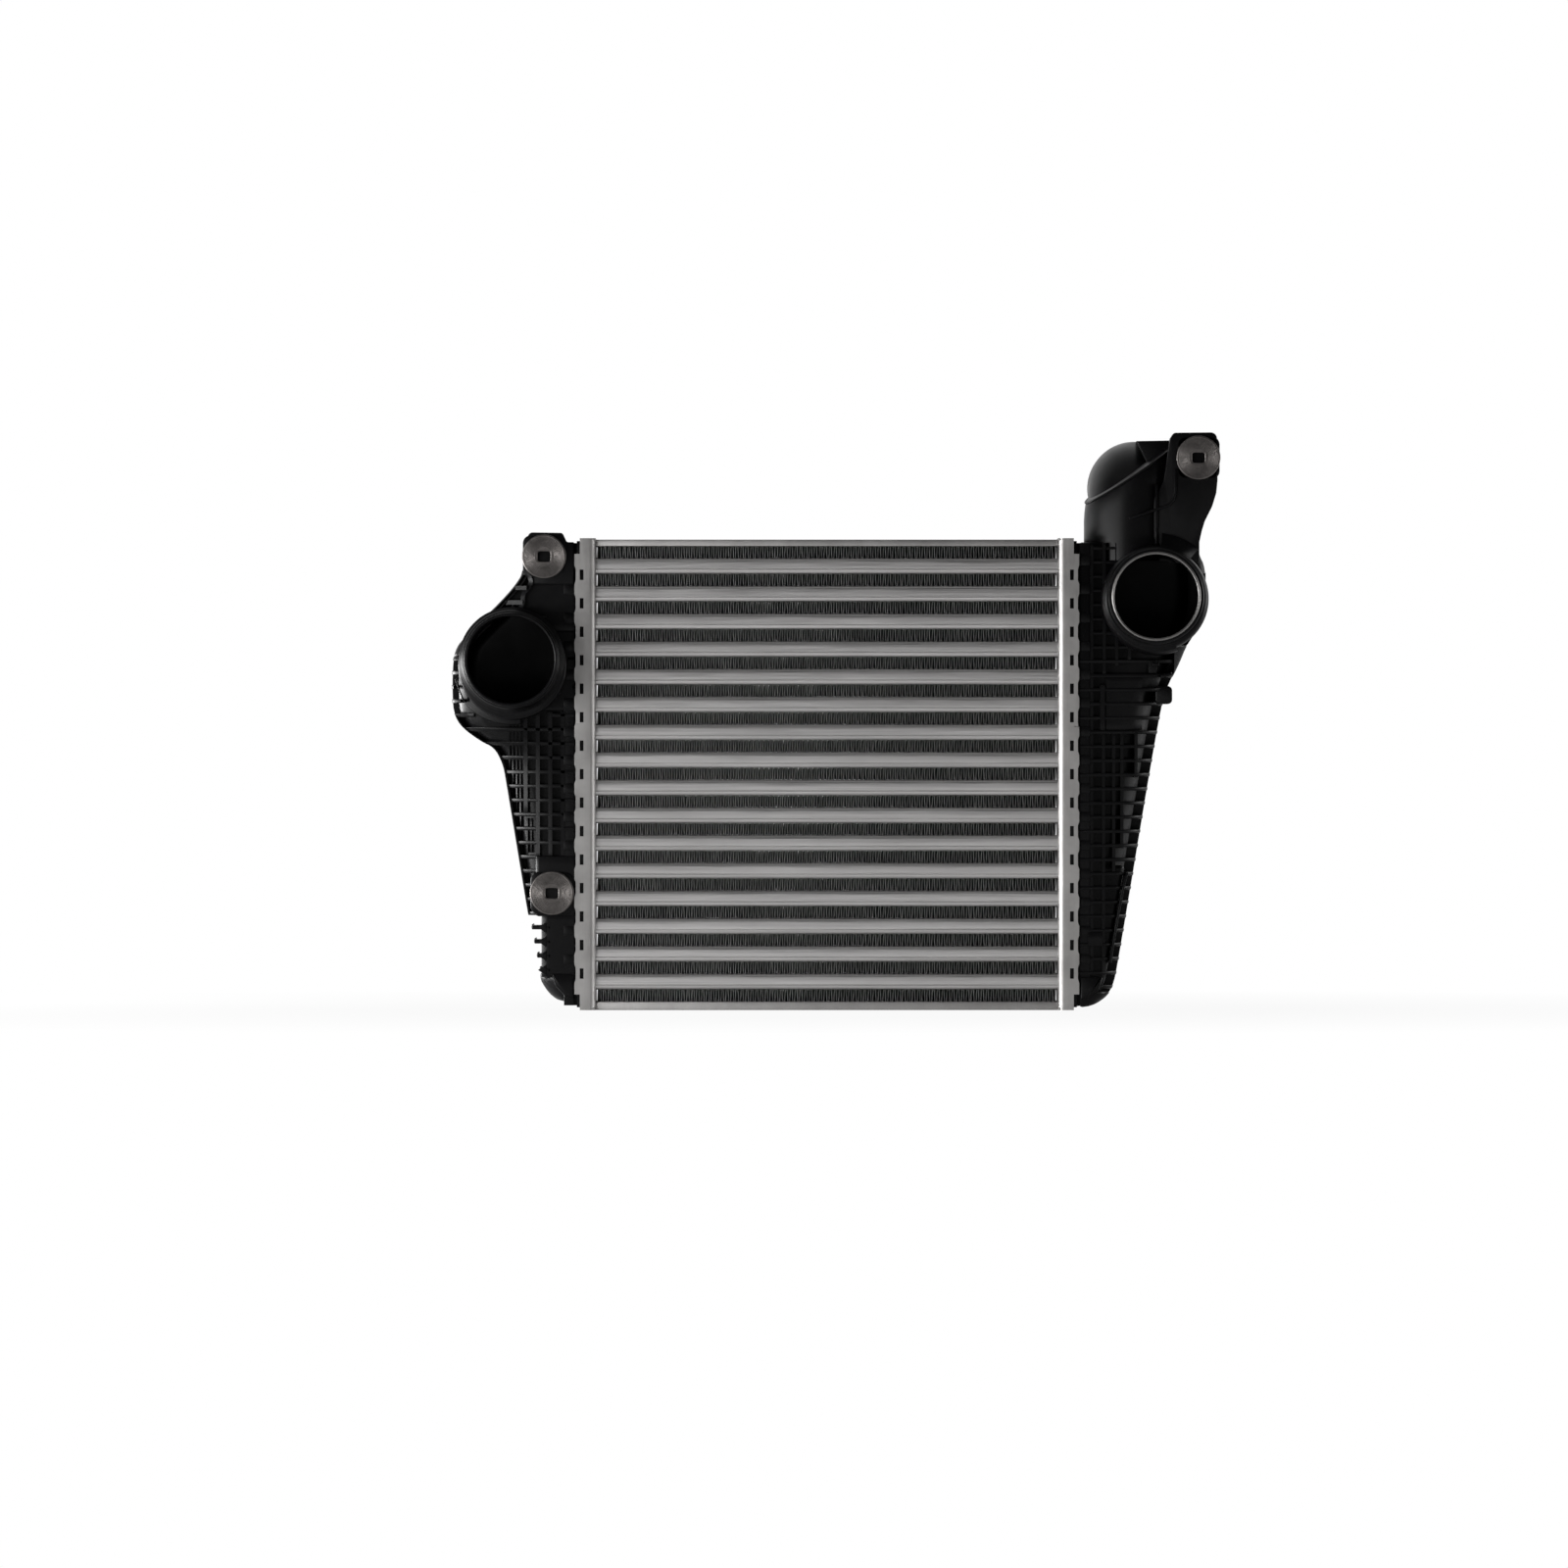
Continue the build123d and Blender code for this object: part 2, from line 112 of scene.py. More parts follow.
def circle(centre, radius, count=64):
    return [(centre[0] + radius * math.cos(t), centre[1] + radius * math.sin(t)) for t in full_turn(count)]


def turned(centre, profile, turn):
    """A (radius, y) profile at one angle about a level axis through centre (x, z)."""
    return [(centre[0] + r * math.cos(turn), y, centre[1] + r * math.sin(turn)) for r, y in profile]


def arc(centre, radius, start, stop, steps):
    """Points of a circle between two angles."""
    angles = (start + (stop - start) * k / steps for k in range(steps + 1))
    return [(centre[0] + radius * math.cos(a), centre[1] + radius * math.sin(a)) for a in angles]


def rounding(radius, steps=2):
    """(inset, rise) pairs of a quarter round."""
    if radius <= 0:
        return [(0, 0)]
    return [
        (radius * (1 - math.sin(a)), radius * (1 - math.cos(a)))
        for a in (math.pi / 2 * k / steps for k in range(steps + 1))
    ]


def inset_outline(outline, amount):
    """The outline drawn in by amount, with mitred corners."""
    if amount == 0:
        return list(outline)
    area = sum(a[0] * b[1] - b[0] * a[1] for a, b in zip(outline, outline[1:] + outline[:1]))
    turn = 1 if area > 0 else -1
    moved = []
    for before, here, after in zip(outline[-1:] + outline[:-1], outline, outline[1:] + outline[:1]):
        d0 = Vector((here[0] - before[0], here[1] - before[1])).normalized()
        d1 = Vector((after[0] - here[0], after[1] - here[1])).normalized()
        n0 = Vector((-d0.y, d0.x)) * turn
        n1 = Vector((-d1.y, d1.x)) * turn
        middle = (n0 + n1).normalized()
        reach = amount / max(0.35, middle.dot(n0))
        moved.append((here[0] + middle.x * reach, here[1] + middle.y * reach))
    return moved


def rounded_outline(outline, radius, steps=5):
    """The outline with each corner replaced by an arc that leaves its sides tangentially."""
    count = len(outline)
    radii = radius if isinstance(radius, (list, tuple)) else [radius] * count
    points = []
    for k, here in enumerate(outline):
        corner = Vector(here)
        a = Vector(outline[k - 1]) - corner
        b = Vector(outline[(k + 1) % count]) - corner
        half = a.angle(b) / 2
        if radii[k] <= 0 or half > math.radians(88):
            points.append(tuple(here))
            continue
        trim = min(radii[k] / math.tan(half), 0.48 * a.length, 0.48 * b.length)
        r = trim * math.tan(half)
        centre = corner + (a.normalized() + b.normalized()).normalized() * (r / math.sin(half))
        ends = (corner + side.normalized() * trim - centre for side in (a, b))
        first, last = (math.atan2(end.y, end.x) for end in ends)
        sweep = (last - first + math.pi) % (2 * math.pi) - math.pi
        points += arc(centre, r, first, first + sweep, steps)
    return points


def square(centre, half, radius, steps=5):
    """A square outline about centre with rounded corners."""
    x, z = centre
    corners = [(x - half, z - half), (x + half, z - half), (x + half, z + half), (x - half, z + half)]
    return rounded_outline(corners, radius, steps)


def softened(points, rounds=2):
    """An open polyline with its corners cut, keeping its two ends."""
    for _ in range(rounds):
        cut = [points[0]]
        for a, b in zip(points, points[1:]):
            cut.append((0.75 * a[0] + 0.25 * b[0], 0.75 * a[1] + 0.25 * b[1]))
            cut.append((0.25 * a[0] + 0.75 * b[0], 0.25 * a[1] + 0.75 * b[1]))
        cut.append(points[-1])
        points = cut
    return points


def reader(points):
    """x as a function of z along an open polyline that climbs in z."""

    def at(z):
        if z <= points[0][1]:
            return points[0][0]
        for (x0, z0), (x1, z1) in zip(points, points[1:]):
            if z <= z1:
                return x0 + (x1 - x0) * (z - z0) / max(1e-9, z1 - z0)
        return points[-1][0]

    return at


def linked(name, data):
    """A new object, linked to the scene."""
    obj = bpy.data.objects.new(name, data)
    scene.collection.objects.link(obj)
    return obj


def thicken(obj, thickness, even):
    """Gives a sheet its thickness, half to each side."""
    solid = obj.modifiers.new("gauge", "SOLIDIFY")
    solid.thickness = thickness * MM
    solid.offset = 0
    solid.use_even_offset = even


def round_edges(obj, width, segments, angle):
    """Rounds the edges that turn by more than the angle."""
    bevel = obj.modifiers.new("edges", "BEVEL")
    bevel.width = width * MM
    bevel.segments = segments
    bevel.limit_method = "ANGLE"
    bevel.angle_limit = math.radians(angle)


def baked(obj):
    """The object's mesh with its modifiers applied; the object is removed."""
    graph = bpy.context.evaluated_depsgraph_get()
    mesh = bpy.data.meshes.new_from_object(obj.evaluated_get(graph))
    bpy.data.objects.remove(obj)
    return mesh


def carved(name, solid, hollow):
    """The solid's shells fused, less the hollow's shells."""
    body = linked(name + "_work", solid.mesh(name))
    tool = linked(name + "_tool", hollow.mesh(name + "_tool"))
    carve = body.modifiers.new("carve", "BOOLEAN")
    carve.operation = "DIFFERENCE"
    carve.solver = "EXACT"
    carve.use_self = True
    carve.object = tool
    mesh = baked(body)
    bpy.data.objects.remove(tool)
    return mesh


def place(name, meshes, slot, nodes=(), sharp=32):
    """One piece from one or more meshes, shaded smooth up to the sharp angle."""
    work = bmesh.new()
    for mesh in meshes:
        work.from_mesh(mesh)
    mesh = bpy.data.meshes.new(name)
    work.to_mesh(mesh)
    work.free()
    mesh.materials.append(looks[slot])
    for polygon in mesh.polygons:
        polygon.material_index = 0
        polygon.use_smooth = True
    mesh.set_sharp_from_angle(angle=math.radians(sharp))
    obj = linked(name, mesh)
    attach(obj, "root")
    if nodes:
        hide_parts(*nodes)
    return obj


# ---------------------------------------------------------------- materials
class Nodes:
    """Short ways to write a node tree."""

    def __init__(self, owner):
        owner.use_nodes = True
        self.tree = owner.node_tree

    def put(self, value, socket):
        """Links a source to the socket, or sets a plain value."""
        if isinstance(value, bpy.types.NodeSocket):
            self.tree.links.new(value, socket)
        else:
            socket.default_value = (*value, 1) if socket.type == "RGBA" else value

    def node(self, kind, **values):
        """A new node; a key names one of its sockets, with _ for a space, or else a setting."""
        node = self.tree.nodes.new("ShaderNode" + kind)
        for key, value in values.items():
            socket = node.inputs.get(key.replace("_", " "))
            if socket is None:
                setattr(node, key, value)
            else:
                self.put(value, socket)
        return node

    def math(self, operation, a, b):
        node = self.node("Math", operation=operation)
        self.put(a, node.inputs[0])
        self.put(b, node.inputs[1])
        return node.outputs[0]

    def spread(self, source, low, high, start=0.3, stop=0.7):
        """The source mapped from start..stop to low..high."""
        scale = {"From_Min": start, "From_Max": stop, "To_Min": low, "To_Max": high}
        return self.node("MapRange", Value=source, **scale).outputs["Result"]

    def mirrored(self, path):
        """1 for a ray that is mirrored or passes through glass; path holds a light path's outputs."""
        return self.math("MAXIMUM", path["Is Glossy Ray"], path["Is Transmission Ray"])

    def choose(self, output, factor, first, second):
        """Mixes two shader nodes into a new output node."""
        mix = self.node("MixShader")
        for value, socket in zip((factor, first.outputs[0], second.outputs[0]), mix.inputs):
            self.put(value, socket)
        self.put(mix.outputs[0], self.node(output).inputs[0])


class Look(Nodes):
    """A node material built around one Principled shader."""

    def __init__(self, name, **sockets):
        self.material = bpy.data.materials.new(name)
        super().__init__(self.material)
        self.shader = self.tree.nodes["Principled BSDF"]
        self.coords = self.node("TexCoord")
        for socket, value in sockets.items():
            self.shader.inputs[socket.replace("_", " ")].default_value = value

    def noise(self, scale, stretch=(1, 1, 1), detail=4):
        """Noise over the object's own place, in cycles per metre, stretched by axis."""
        mapping = self.node("Mapping", Vector=self.coords.outputs["Object"], Scale=stretch)
        vector = mapping.outputs["Vector"]
        noise = self.node("TexNoise", Vector=vector, Scale=scale, Detail=detail, Roughness=0.55)
        return noise.outputs["Fac"]

    def ramp(self, source, dark, light):
        """A colour between two, as the source climbs from 0.3 to 0.7."""
        ramp = self.node("ValToRGB", Fac=source)
        for element, position, colour in zip(ramp.color_ramp.elements, (0.3, 0.7), (dark, light)):
            element.position = position
            element.color = (*colour, 1)
        return ramp.outputs["Color"]

    def mix(self, factor, a, b):
        """Two colours mixed; sockets 0, 6 and 7 are the factor and the colours."""
        node = self.node("Mix", data_type="RGBA")
        for value, index in ((factor, 0), (a, 6), (b, 7)):
            self.put(value, node.inputs[index])
        return node.outputs[2]

    def bump(self, sources):
        """Bumps chained one on another; sources are (height, strength, distance)."""
        normal = None
        for height, strength, distance in sources:
            node = self.node("Bump", Strength=strength, Distance=distance, Height=height)
            if normal is not None:
                self.put(normal, node.inputs["Normal"])
            normal = node.outputs["Normal"]
        self.put(normal, self.shader.inputs["Normal"])

    def colour(self, source):
        self.put(source, self.shader.inputs["Base Color"])

    def roughness(self, source, low, high):
        self.put(self.spread(source, low, high), self.shader.inputs["Roughness"])


def plastic():
    look = Look("black_nylon", Roughness=0.27, Specular_IOR_Level=0.13)
    cloud = look.noise(18, detail=3)
    grain = look.noise(900, detail=2)
    dust = look.noise(60, detail=5)
    look.colour(
        look.mix(
            look.spread(dust, 0.0, 0.35, 0.5, 0.75),
            look.ramp(cloud, (0.0024, 0.0024, 0.0028), (0.0040, 0.0039, 0.0041)),
            (0.0075, 0.0073, 0.0072),
        )
    )
    look.roughness(look.noise(45, detail=4), 0.28, 0.42)
    look.bump([(cloud, 0.25, 0.0006), (grain, 0.12, 0.00008)])
    return look.material


def drawn_aluminium():
    look = Look("drawn_aluminium", Metallic=1.0)
    streak = look.noise(700, stretch=(0.012, 1, 1), detail=4)
    fine = look.noise(2600, stretch=(0.01, 1, 1), detail=2)
    stain = look.noise(30, stretch=(0.5, 1, 1), detail=5)
    base = look.ramp(streak, (0.50, 0.491, 0.488), (0.66, 0.648, 0.643))
    look.colour(look.mix(look.spread(stain, 0, 0.35, 0.5, 0.8), base, (0.43, 0.417, 0.409)))
    look.roughness(fine, 0.34, 0.52)
    look.bump([(streak, 0.35, 0.00012), (fine, 0.2, 0.00005)])
    return look.material


def fin_metal_with_painted_shade():
    # The fin colour is kept far darker than the tubes' drawn aluminium: painted shade for the shade deep in
    # the folds. The stain noise only varies the tone at random.
    look = Look("fin_metal_painted_shade", Metallic=1.0)
    stain = look.noise(120, detail=3)
    look.colour(look.ramp(stain, (0.22, 0.22, 0.216), (0.36, 0.36, 0.352)))
    look.roughness(look.noise(300, detail=2), 0.35, 0.55)
    return look.material


def pressed_aluminium():
    look = Look("pressed_aluminium", Metallic=1.0)
    cloud = look.noise(55, detail=5)
    draw = look.noise(900, stretch=(1, 1, 0.03), detail=3)
    base = look.ramp(cloud, (0.35, 0.342, 0.335), (0.46, 0.45, 0.443))
    stain = look.spread(look.noise(14, detail=4), 0, 0.3, 0.5, 0.75)
    look.colour(look.mix(stain, base, (0.28, 0.272, 0.264)))
    look.roughness(draw, 0.40, 0.54)
    look.bump([(cloud, 0.25, 0.0003), (draw, 0.12, 0.00006)])
    return look.material


def bright_steel():
    look = Look("bright_steel", Metallic=1.0)
    turn = look.noise(1500, stretch=(1, 0.05, 1), detail=2)
    look.colour(look.ramp(turn, (0.20, 0.195, 0.19), (0.28, 0.273, 0.266)))
    look.roughness(turn, 0.34, 0.46)
    return look.material


def grey_steel():
    look = Look("grey_steel", Metallic=1.0)
    cloud = look.noise(140, detail=5)
    look.colour(look.ramp(cloud, (0.085, 0.079, 0.076), (0.16, 0.148, 0.142)))
    look.roughness(look.noise(260, detail=3), 0.38, 0.58)
    look.bump([(look.noise(500, detail=3), 0.25, 0.0001)])
    return look.material


def rubber():
    look = Look("black_rubber", Specular_IOR_Level=0.25)
    grain = look.noise(400, detail=3)
    look.colour(look.ramp(grain, (0.006, 0.006, 0.006), (0.012, 0.012, 0.012)))
    look.roughness(grain, 0.6, 0.8)
    look.bump([(grain, 0.2, 0.0001)])
    return look.material


looks = {
    "tank": plastic(),
    "tube": drawn_aluminium(),
    "fin": fin_metal_with_painted_shade(),
    "side_plate": pressed_aluminium(),
    "header": pressed_aluminium(),
    "ring": bright_steel(),
    "bush": grey_steel(),
    "grommet": rubber(),
    "seal": rubber(),
}

# ---------------------------------------------------------------- core
half_core = 147.0
tube_count = 16
tube_pitch = 17.62
tube_height = 10.0
tube_half_depth = 28.0
tube_reach = half_core + 3.4
fin_height = tube_pitch - tube_height
core_floor = 5.4


def grid(rows, count):
    """The faces of a net of points, each with its row and its place in the row."""
    for row in range(rows - 1):
        for i in range(count - 1):
            here = row * count + i
            yield (here, here + 1, here + count + 1, here + count), row, i


def fin_middle(index):
    return core_floor + fin_height / 2 + index * tube_pitch


def tube_middle(index):
    return core_floor + fin_height + tube_height / 2 + index * tube_pitch


def tube_section():
    """The tube's outline in (y, z): round-cornered noses with a shallow groove above the lower edge."""
    half = tube_height / 2
    nose = 2.4
    groove = -half + 2.9
    groove_floor = tube_half_depth - 0.45
    nose_middle = tube_half_depth - nose
    right = arc((nose_middle, -half + nose), nose, -math.pi / 2, 0, 4)
    right += [
        (tube_half_depth, groove - 0.35),
        (groove_floor, groove - 0.1),
        (groove_floor, groove + 0.1),
        (tube_half_depth, groove + 0.35),
        (tube_half_depth, groove + 1.6),
    ]
    right += arc((nose_middle, half - nose), nose, 0, math.pi / 2, 4)
    left = [(-y, z) for y, z in reversed(right)]
    return right + left


def make_tube_mesh():
    """An open tube with a wall of 1 mm and seven webs inside."""
    wall, side_wall = 1.0, 1.1
    web_pitch, web_half, web_half_height, web_setback = 7.2, 0.4, 4.6, 0.4
    half = tube_height / 2
    narrow = (tube_half_depth - side_wall) / tube_half_depth
    low = (half - wall) / half
    outer = tube_section()
    inner = [(y * narrow, z * low) for y, z in outer]
    shells = Shells()
    loops = [[(x, y, z) for y, z in outer] for x in (-tube_reach, tube_reach)]
    loops += [[(x, y, z) for y, z in inner] for x in (tube_reach, -tube_reach)]
    shells.loft(loops, closed=True)
    reach = tube_reach - web_setback
    for web in range(-3, 4):
        y = web * web_pitch
        shells.block((-reach, y - web_half, -web_half_height), (reach, y + web_half, web_half_height), 0)
    return shells.mesh("tube")


tube_mesh = make_tube_mesh()
for index in range(tube_count):
    tube = place(f"tube_{index + 1:02d}_drawn", [tube_mesh], "tube")
    tube.data.transform(Matrix.Translation((0, 0, tube_middle(index) * MM)))
    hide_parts(f"tube_{index + 1:02d}")


def make_fin_mesh(seed):
    """A thin sheet folded into upright legs that wave slightly from front to back."""
    rng = random.Random(seed)
    leg_pitch = 1.56
    lean = 0.14
    crease = 0.28
    fin_gauge = 0.16
    half = fin_height / 2 - 0.02
    reach = half_core - 1.2
    sway = 0.85
    turns = (-21.5, -14.5, -7.5, 0, 7.5, 14.5, 21.5)
    wave = [(y, sway if k % 2 == 0 else -sway) for k, y in enumerate(turns)]
    wave = [(-26.4, 0.0)] + wave + [(26.4, 0.0)]
    path = []
    for leg in range(int(2 * reach / leg_pitch) + 1):
        x = -reach + 0.6 + leg * leg_pitch + rng.uniform(-0.13, 0.13)
        climb = 1 if leg % 2 == 0 else -1
        path += [
            (x - lean - crease, -climb * half),
            (x - lean, -climb * (half - 0.5)),
            (x + lean, climb * (half - 0.5)),
            (x + lean + crease, climb * half),
        ]
    verts = [((x + aside) * MM, y * MM, z * MM) for y, aside in wave for x, z in path]
    mesh = bpy.data.meshes.new("fin")
    mesh.from_pydata(verts, [], [face for face, *_ in grid(len(wave), len(path))])
    sheet = linked("fin_work", mesh)
    thicken(sheet, fin_gauge, False)
    result = baked(sheet)
    low = min(v.co.z for v in result.vertices)
    high = max(v.co.z for v in result.vertices)
    result.transform(Matrix.Diagonal((1, 1, fin_height * MM / (high - low), 1)))
    return result


fin_meshes = [make_fin_mesh(seed) for seed in range(3)]
for index in range(tube_count + 1):
    fin = place(f"fin_{index + 1:02d}_folded", [fin_meshes[index % 3]], "fin", sharp=50)
    fin.data.transform(Matrix.Translation((0, 0, fin_middle(index) * MM)))
    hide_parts(f"fin_{index + 1:02d}")


def roll_side_plate(node):
    """The node's own solid with its sharp edges rounded."""
    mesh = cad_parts[node].data.copy()
    work = bmesh.new()
    work.from_mesh(mesh)
    bmesh.ops.remove_doubles(work, verts=work.verts, dist=2e-6)
    bmesh.ops.dissolve_limit(work, angle_limit=math.radians(2), verts=work.verts, edges=work.edges)
    work.to_mesh(mesh)
    work.free()
    if "custom_normal" in mesh.attributes:
        mesh.attributes.remove(mesh.attributes["custom_normal"])
    plate = linked(node + "_work", mesh)
    round_edges(plate, 0.5, 3, 40)
    place(node + "_rolled", [baked(plate)], "side_plate", [node])


roll_side_plate("side_plate_top")
roll_side_plate("side_plate_bottom")

# ---------------------------------------------------------------- header plates
header_height = 300.0
half_header = 32.0
gauge = 1.6
slot_pitch = 18.1
slot_count = 15
slot_rise = 8.8
slot_size = (2.4, 6.6)
notch_height = 10.0
crimp_rise = 13.4
crimp_end_rise = 10.4
rim_top = crimp_rise - gauge / 2
slot_foot = slot_rise - slot_size[0] / 2
slot_top = slot_rise + slot_size[0] / 2
scallop_half = 6.2
scallop_fade = 2.6
scallop_depth = 0.8
first_slot = header_height / 2 - slot_pitch * (slot_count - 1) / 2
slot_middles = [first_slot + k * slot_pitch for k in range(slot_count)]


def header_path():
    """Middle line of the pressed tray in (rise, y), from the front lip round to the back lip."""
    half = half_header - gauge / 2
    foot = gauge / 2
    bend = 3.0
    front = [(rim_top, -half + 4.0), (rim_top, -half), (slot_top, -half), (slot_foot, -half)]
    for k in range(9):
        a = math.pi / 2 * k / 8
        front.append((foot + bend - bend * math.sin(a), -half + bend - bend * math.cos(a)))
    return front + [(rise, -y) for rise, y in reversed(front)]


def pressed(rise, near):
    """The rim bends inward beside a slot; near is the distance from the slot's middle."""
    if rise < slot_top + 0.1:
        return rise
    share = max(0.0, min(1.0, (scallop_half - near) / scallop_fade))
    return rise - scallop_depth * share * share * (3 - 2 * share) * (rise - slot_top) / (rim_top - slot_top)


def tray_levels(holes):
    """Heights of the tray's net: its ends, the notches, the slots with their scallops, and the holes."""
    levels = {0.0, header_height, notch_height, header_height - notch_height}
    for z in slot_middles:
        for reach in (slot_size[1] / 2, 4.6, scallop_half):
            levels |= {z - reach, z + reach}
    for span in holes:
        levels |= set(span)
    return sorted(levels)


def tray_mesh(side, name):
    """The tray as a sheet without thickness, with its slots, notches and tube holes left out."""
    path = header_path()
    middles = [tube_middle(k) for k in range(tube_count)]
    holes = [(z - tube_height / 2, z + tube_height / 2) for z in middles]
    levels = tray_levels(holes)
    verts = []
    for z in levels:
        near = min(abs(z - m) for m in slot_middles)
        for rise, y in path:
            verts.append((side * (half_core + pressed(rise, near)) * MM, y * MM, z * MM))
    faces = []
    for face, row, i in grid(len(levels), len(path)):
        z = (levels[row] + levels[row + 1]) / 2
        (r0, y0), (r1, y1) = path[i], path[i + 1]
        in_wall = min(abs(y0), abs(y1)) > half_header - 3
        in_strip = slot_foot - 0.01 < min(r0, r1) and max(r0, r1) < slot_top + 0.01
        at_slot = any(abs(z - m) < slot_size[1] / 2 for m in slot_middles)
        in_rim = (r0 + r1) / 2 > crimp_end_rise - 1
        is_notch = in_rim and not notch_height < z < header_height - notch_height
        is_hole = abs(y0 - y1) > 20 and any(a < z < b for a, b in holes)
        if not (in_wall and in_strip and at_slot or is_notch or is_hole):
            faces.append(face)
    mesh = bpy.data.meshes.new(name)
    mesh.from_pydata(verts, [], faces)
    work = bmesh.new()
    work.from_mesh(mesh)
    bmesh.ops.delete(work, geom=[v for v in work.verts if not v.link_faces], context="VERTS")
    work.to_mesh(mesh)
    work.free()
    return mesh


def make_header(side, name, node):
    tray = linked(name + "_work", tray_mesh(side, name))
    thicken(tray, gauge, True)
    round_edges(tray, 0.3, 2, 50)
    # the strips of the base beside the tube ends, and the end walls
    near_core = side * (half_core + 0.02)
    extra = Shells()
    for sign in (-1, 1):
        corner = (side * (half_core + gauge - 0.02), sign * 30.2, header_height - 2.0)
        extra.block((near_core, sign * tube_half_depth, 2.0), corner, 0.1)
    for z in (0.0, header_height - gauge):
        corner = (side * (half_core + 9.0), half_header - 0.6, z + gauge)
        extra.block((near_core, -half_header + 0.6, z), corner, 0.5)
    place(name, [baked(tray), extra.mesh(name)], "header", [node], sharp=40)


make_header(-1, "header_left_pressed", "header_left")
make_header(1, "header_right_pressed", "header_right")

# ---------------------------------------------------------------- tanks
tank_base = half_core + gauge + 2.0
foot_top = half_core + crimp_rise - gauge
rail_base = half_core + 13.7
rail_edge = rail_base + 6.4
rib_half = 30.0
wall_half = 24.0
hollow_half = 21.5
wall_start = rail_base - 0.5
hollow_start = tank_base - 2
root = -20.0  # y where raised details start, inside the ribs
plate_back = -14.7  # y of the back of the ear plates
rib_pitch = 9.0

left_edge = [
    (160.8, 4.4), (164, 4.5), (171, 5.8), (178, 11.6), (183.8, 22), (204.4, 147), (206.4, 157),
    (211.6, 166.9), (220.3, 170.9), (232.3, 179.7), (237.1, 187.7), (238.6, 195), (238.6, 219),
    (236.6, 229), (232.4, 235.6), (205.9, 261), (194.8, 274.6), (192.4, 282), (189.6, 303.7),
]
right_edge = [
    (160.8, 1.8), (166, 1.9), (172, 4.2), (178, 8.4), (182.4, 14.6), (185.4, 27.4), (212.9, 193.8),
    (217.8, 207.2), (224.7, 221), (229, 232), (239, 246), (241.6, 262), (241, 282), (236.8, 290),
    (236.8, 297.5),
]


class Tank:
    """Level sections of a tank between its rail and its outer edge, on one side of the core."""

    def __init__(self, side, edge):
        self.side = side
        self.edge_line = softened(edge)
        self.edge = reader(self.edge_line)

    def rim(self, out, radius):
        """Width of the rounded or sloped rim of a section that ends at out."""
        if isinstance(radius, tuple):
            return min(radius[0], 0.95 * (out - rail_base))
        return max(0.3, min(radius, 0.9 * (out - rail_base)))

    def front(self, x, z, half, radius, inset=0.0):
        """Half depth of the envelope at x; a (width, drop) radius means a slope."""
        out = self.edge(z) - inset
        wide = self.rim(out, radius)
        if isinstance(radius, tuple):
            u = min(1.0, max(0.0, (x - out + wide) / wide))
            return half - radius[1] * (0.6 * u**2 + 0.4 * u**6)
        over = x - (out - wide)
        if over <= 0:
            return half
        return half - wide + math.sqrt(max(0.0, wide * wide - over * over))

    def loop(self, z, x0, x1, half, radius, inset):
        """Closed level loop between x0 and x1 within the envelope."""
        out = self.edge(z) - inset
        x1 = min(x1, out)
        x0 = min(x0, x1 - 0.05)
        wide = self.rim(out, radius)
        centre = out - wide
        bend = max(x0, min(x1, centre))
        xs = [x0, x0 + (bend - x0) / 2]
        shares = [k / 6 for k in range(7)]
        if isinstance(radius, tuple):
            xs += [bend + (x1 - bend) * share**0.75 for share in shares]
        elif x1 > bend + 1e-6:
            first = math.asin(min(1, max(0, (bend - centre) / wide)))
            last = math.asin(min(1, max(0, (x1 - centre) / wide)))
            xs += [centre + wide * math.sin(first + (last - first) * share) for share in shares]
        else:
            xs += [bend] * len(shares)
        near = [(self.side * x, -self.front(x, z, half, radius, inset), z) for x in xs]
        return near + [(x, -y, z) for x, y, z in reversed(near)]

    def levels(self, low, high, step=6.0):
        """Heights between low and high where the edge bends, and in between."""
        marks = [low, high] + [z for _, z in self.edge_line if low < z < high]
        marks = sorted(set(round(z, 3) for z in marks))
        full = [marks[0]]
        for a, b in zip(marks, marks[1:]):
            parts = max(1, math.ceil((b - a) / step))
            full += [a + (b - a) * k / parts for k in range(1, parts + 1)]
        return full

    def slab(self, shells, low, high, x0, x1, half, radius, inset=0.0, bevel=0.4):
        """A stretch of tank between two heights; x0 and x1 are numbers or functions of height.

        It reaches half to the front and to the back, and radius rounds its outer side.
        """
        at0 = x0 if callable(x0) else (lambda z: x0)
        at1 = x1 if callable(x1) else (lambda z: x1)
        steps = [(gap, low + rise) for gap, rise in rounding(bevel)]
        inner = [z for z in self.levels(low, high)[1:-1] if low + bevel + 0.05 < z < high - bevel - 0.05]
        steps += [(0.0, z) for z in inner]
        steps += [(gap, high - rise) for gap, rise in reversed(rounding(bevel))]
        shells.loft(
            [self.loop(z, at0(z) + gap, at1(z) - gap, half - gap, radius, inset + gap) for gap, z in steps]
        )

    def within(self, gap):
        """The outer edge drawn in by gap, as a function of height."""
        return lambda z: self.edge(z) - gap


def foot(shells, side):
    """The flanged foot in the header tray and the rail that the crimp closes on."""
    steps = (
        (tank_base, foot_top + 0.1, half_header - gauge - 0.1, 1.8),
        (foot_top, rail_base + 0.1, 27.2, 3.0),
        (rail_base, rail_edge, 29.6, 3.0),
    )
    for start, stop, half, end in steps:
        shells.block((side * start, -half, end), (side * stop, half, header_height - end))


def rail_teeth(shells, side):
    """The small blocks along the rail that the crimp presses against."""
    low, high = side * (rail_base + 0.3), side * (rail_edge + 0.3)
    for k in range(slot_count + 1):
        z = first_slot + (k - 0.5) * slot_pitch
        if 6 < z < header_height - 6:
            for y in (-1, 1):
                shells.block((low, y * 26.0, z - 3.2), (high, y * 30.4, z + 3.2), 0.6)


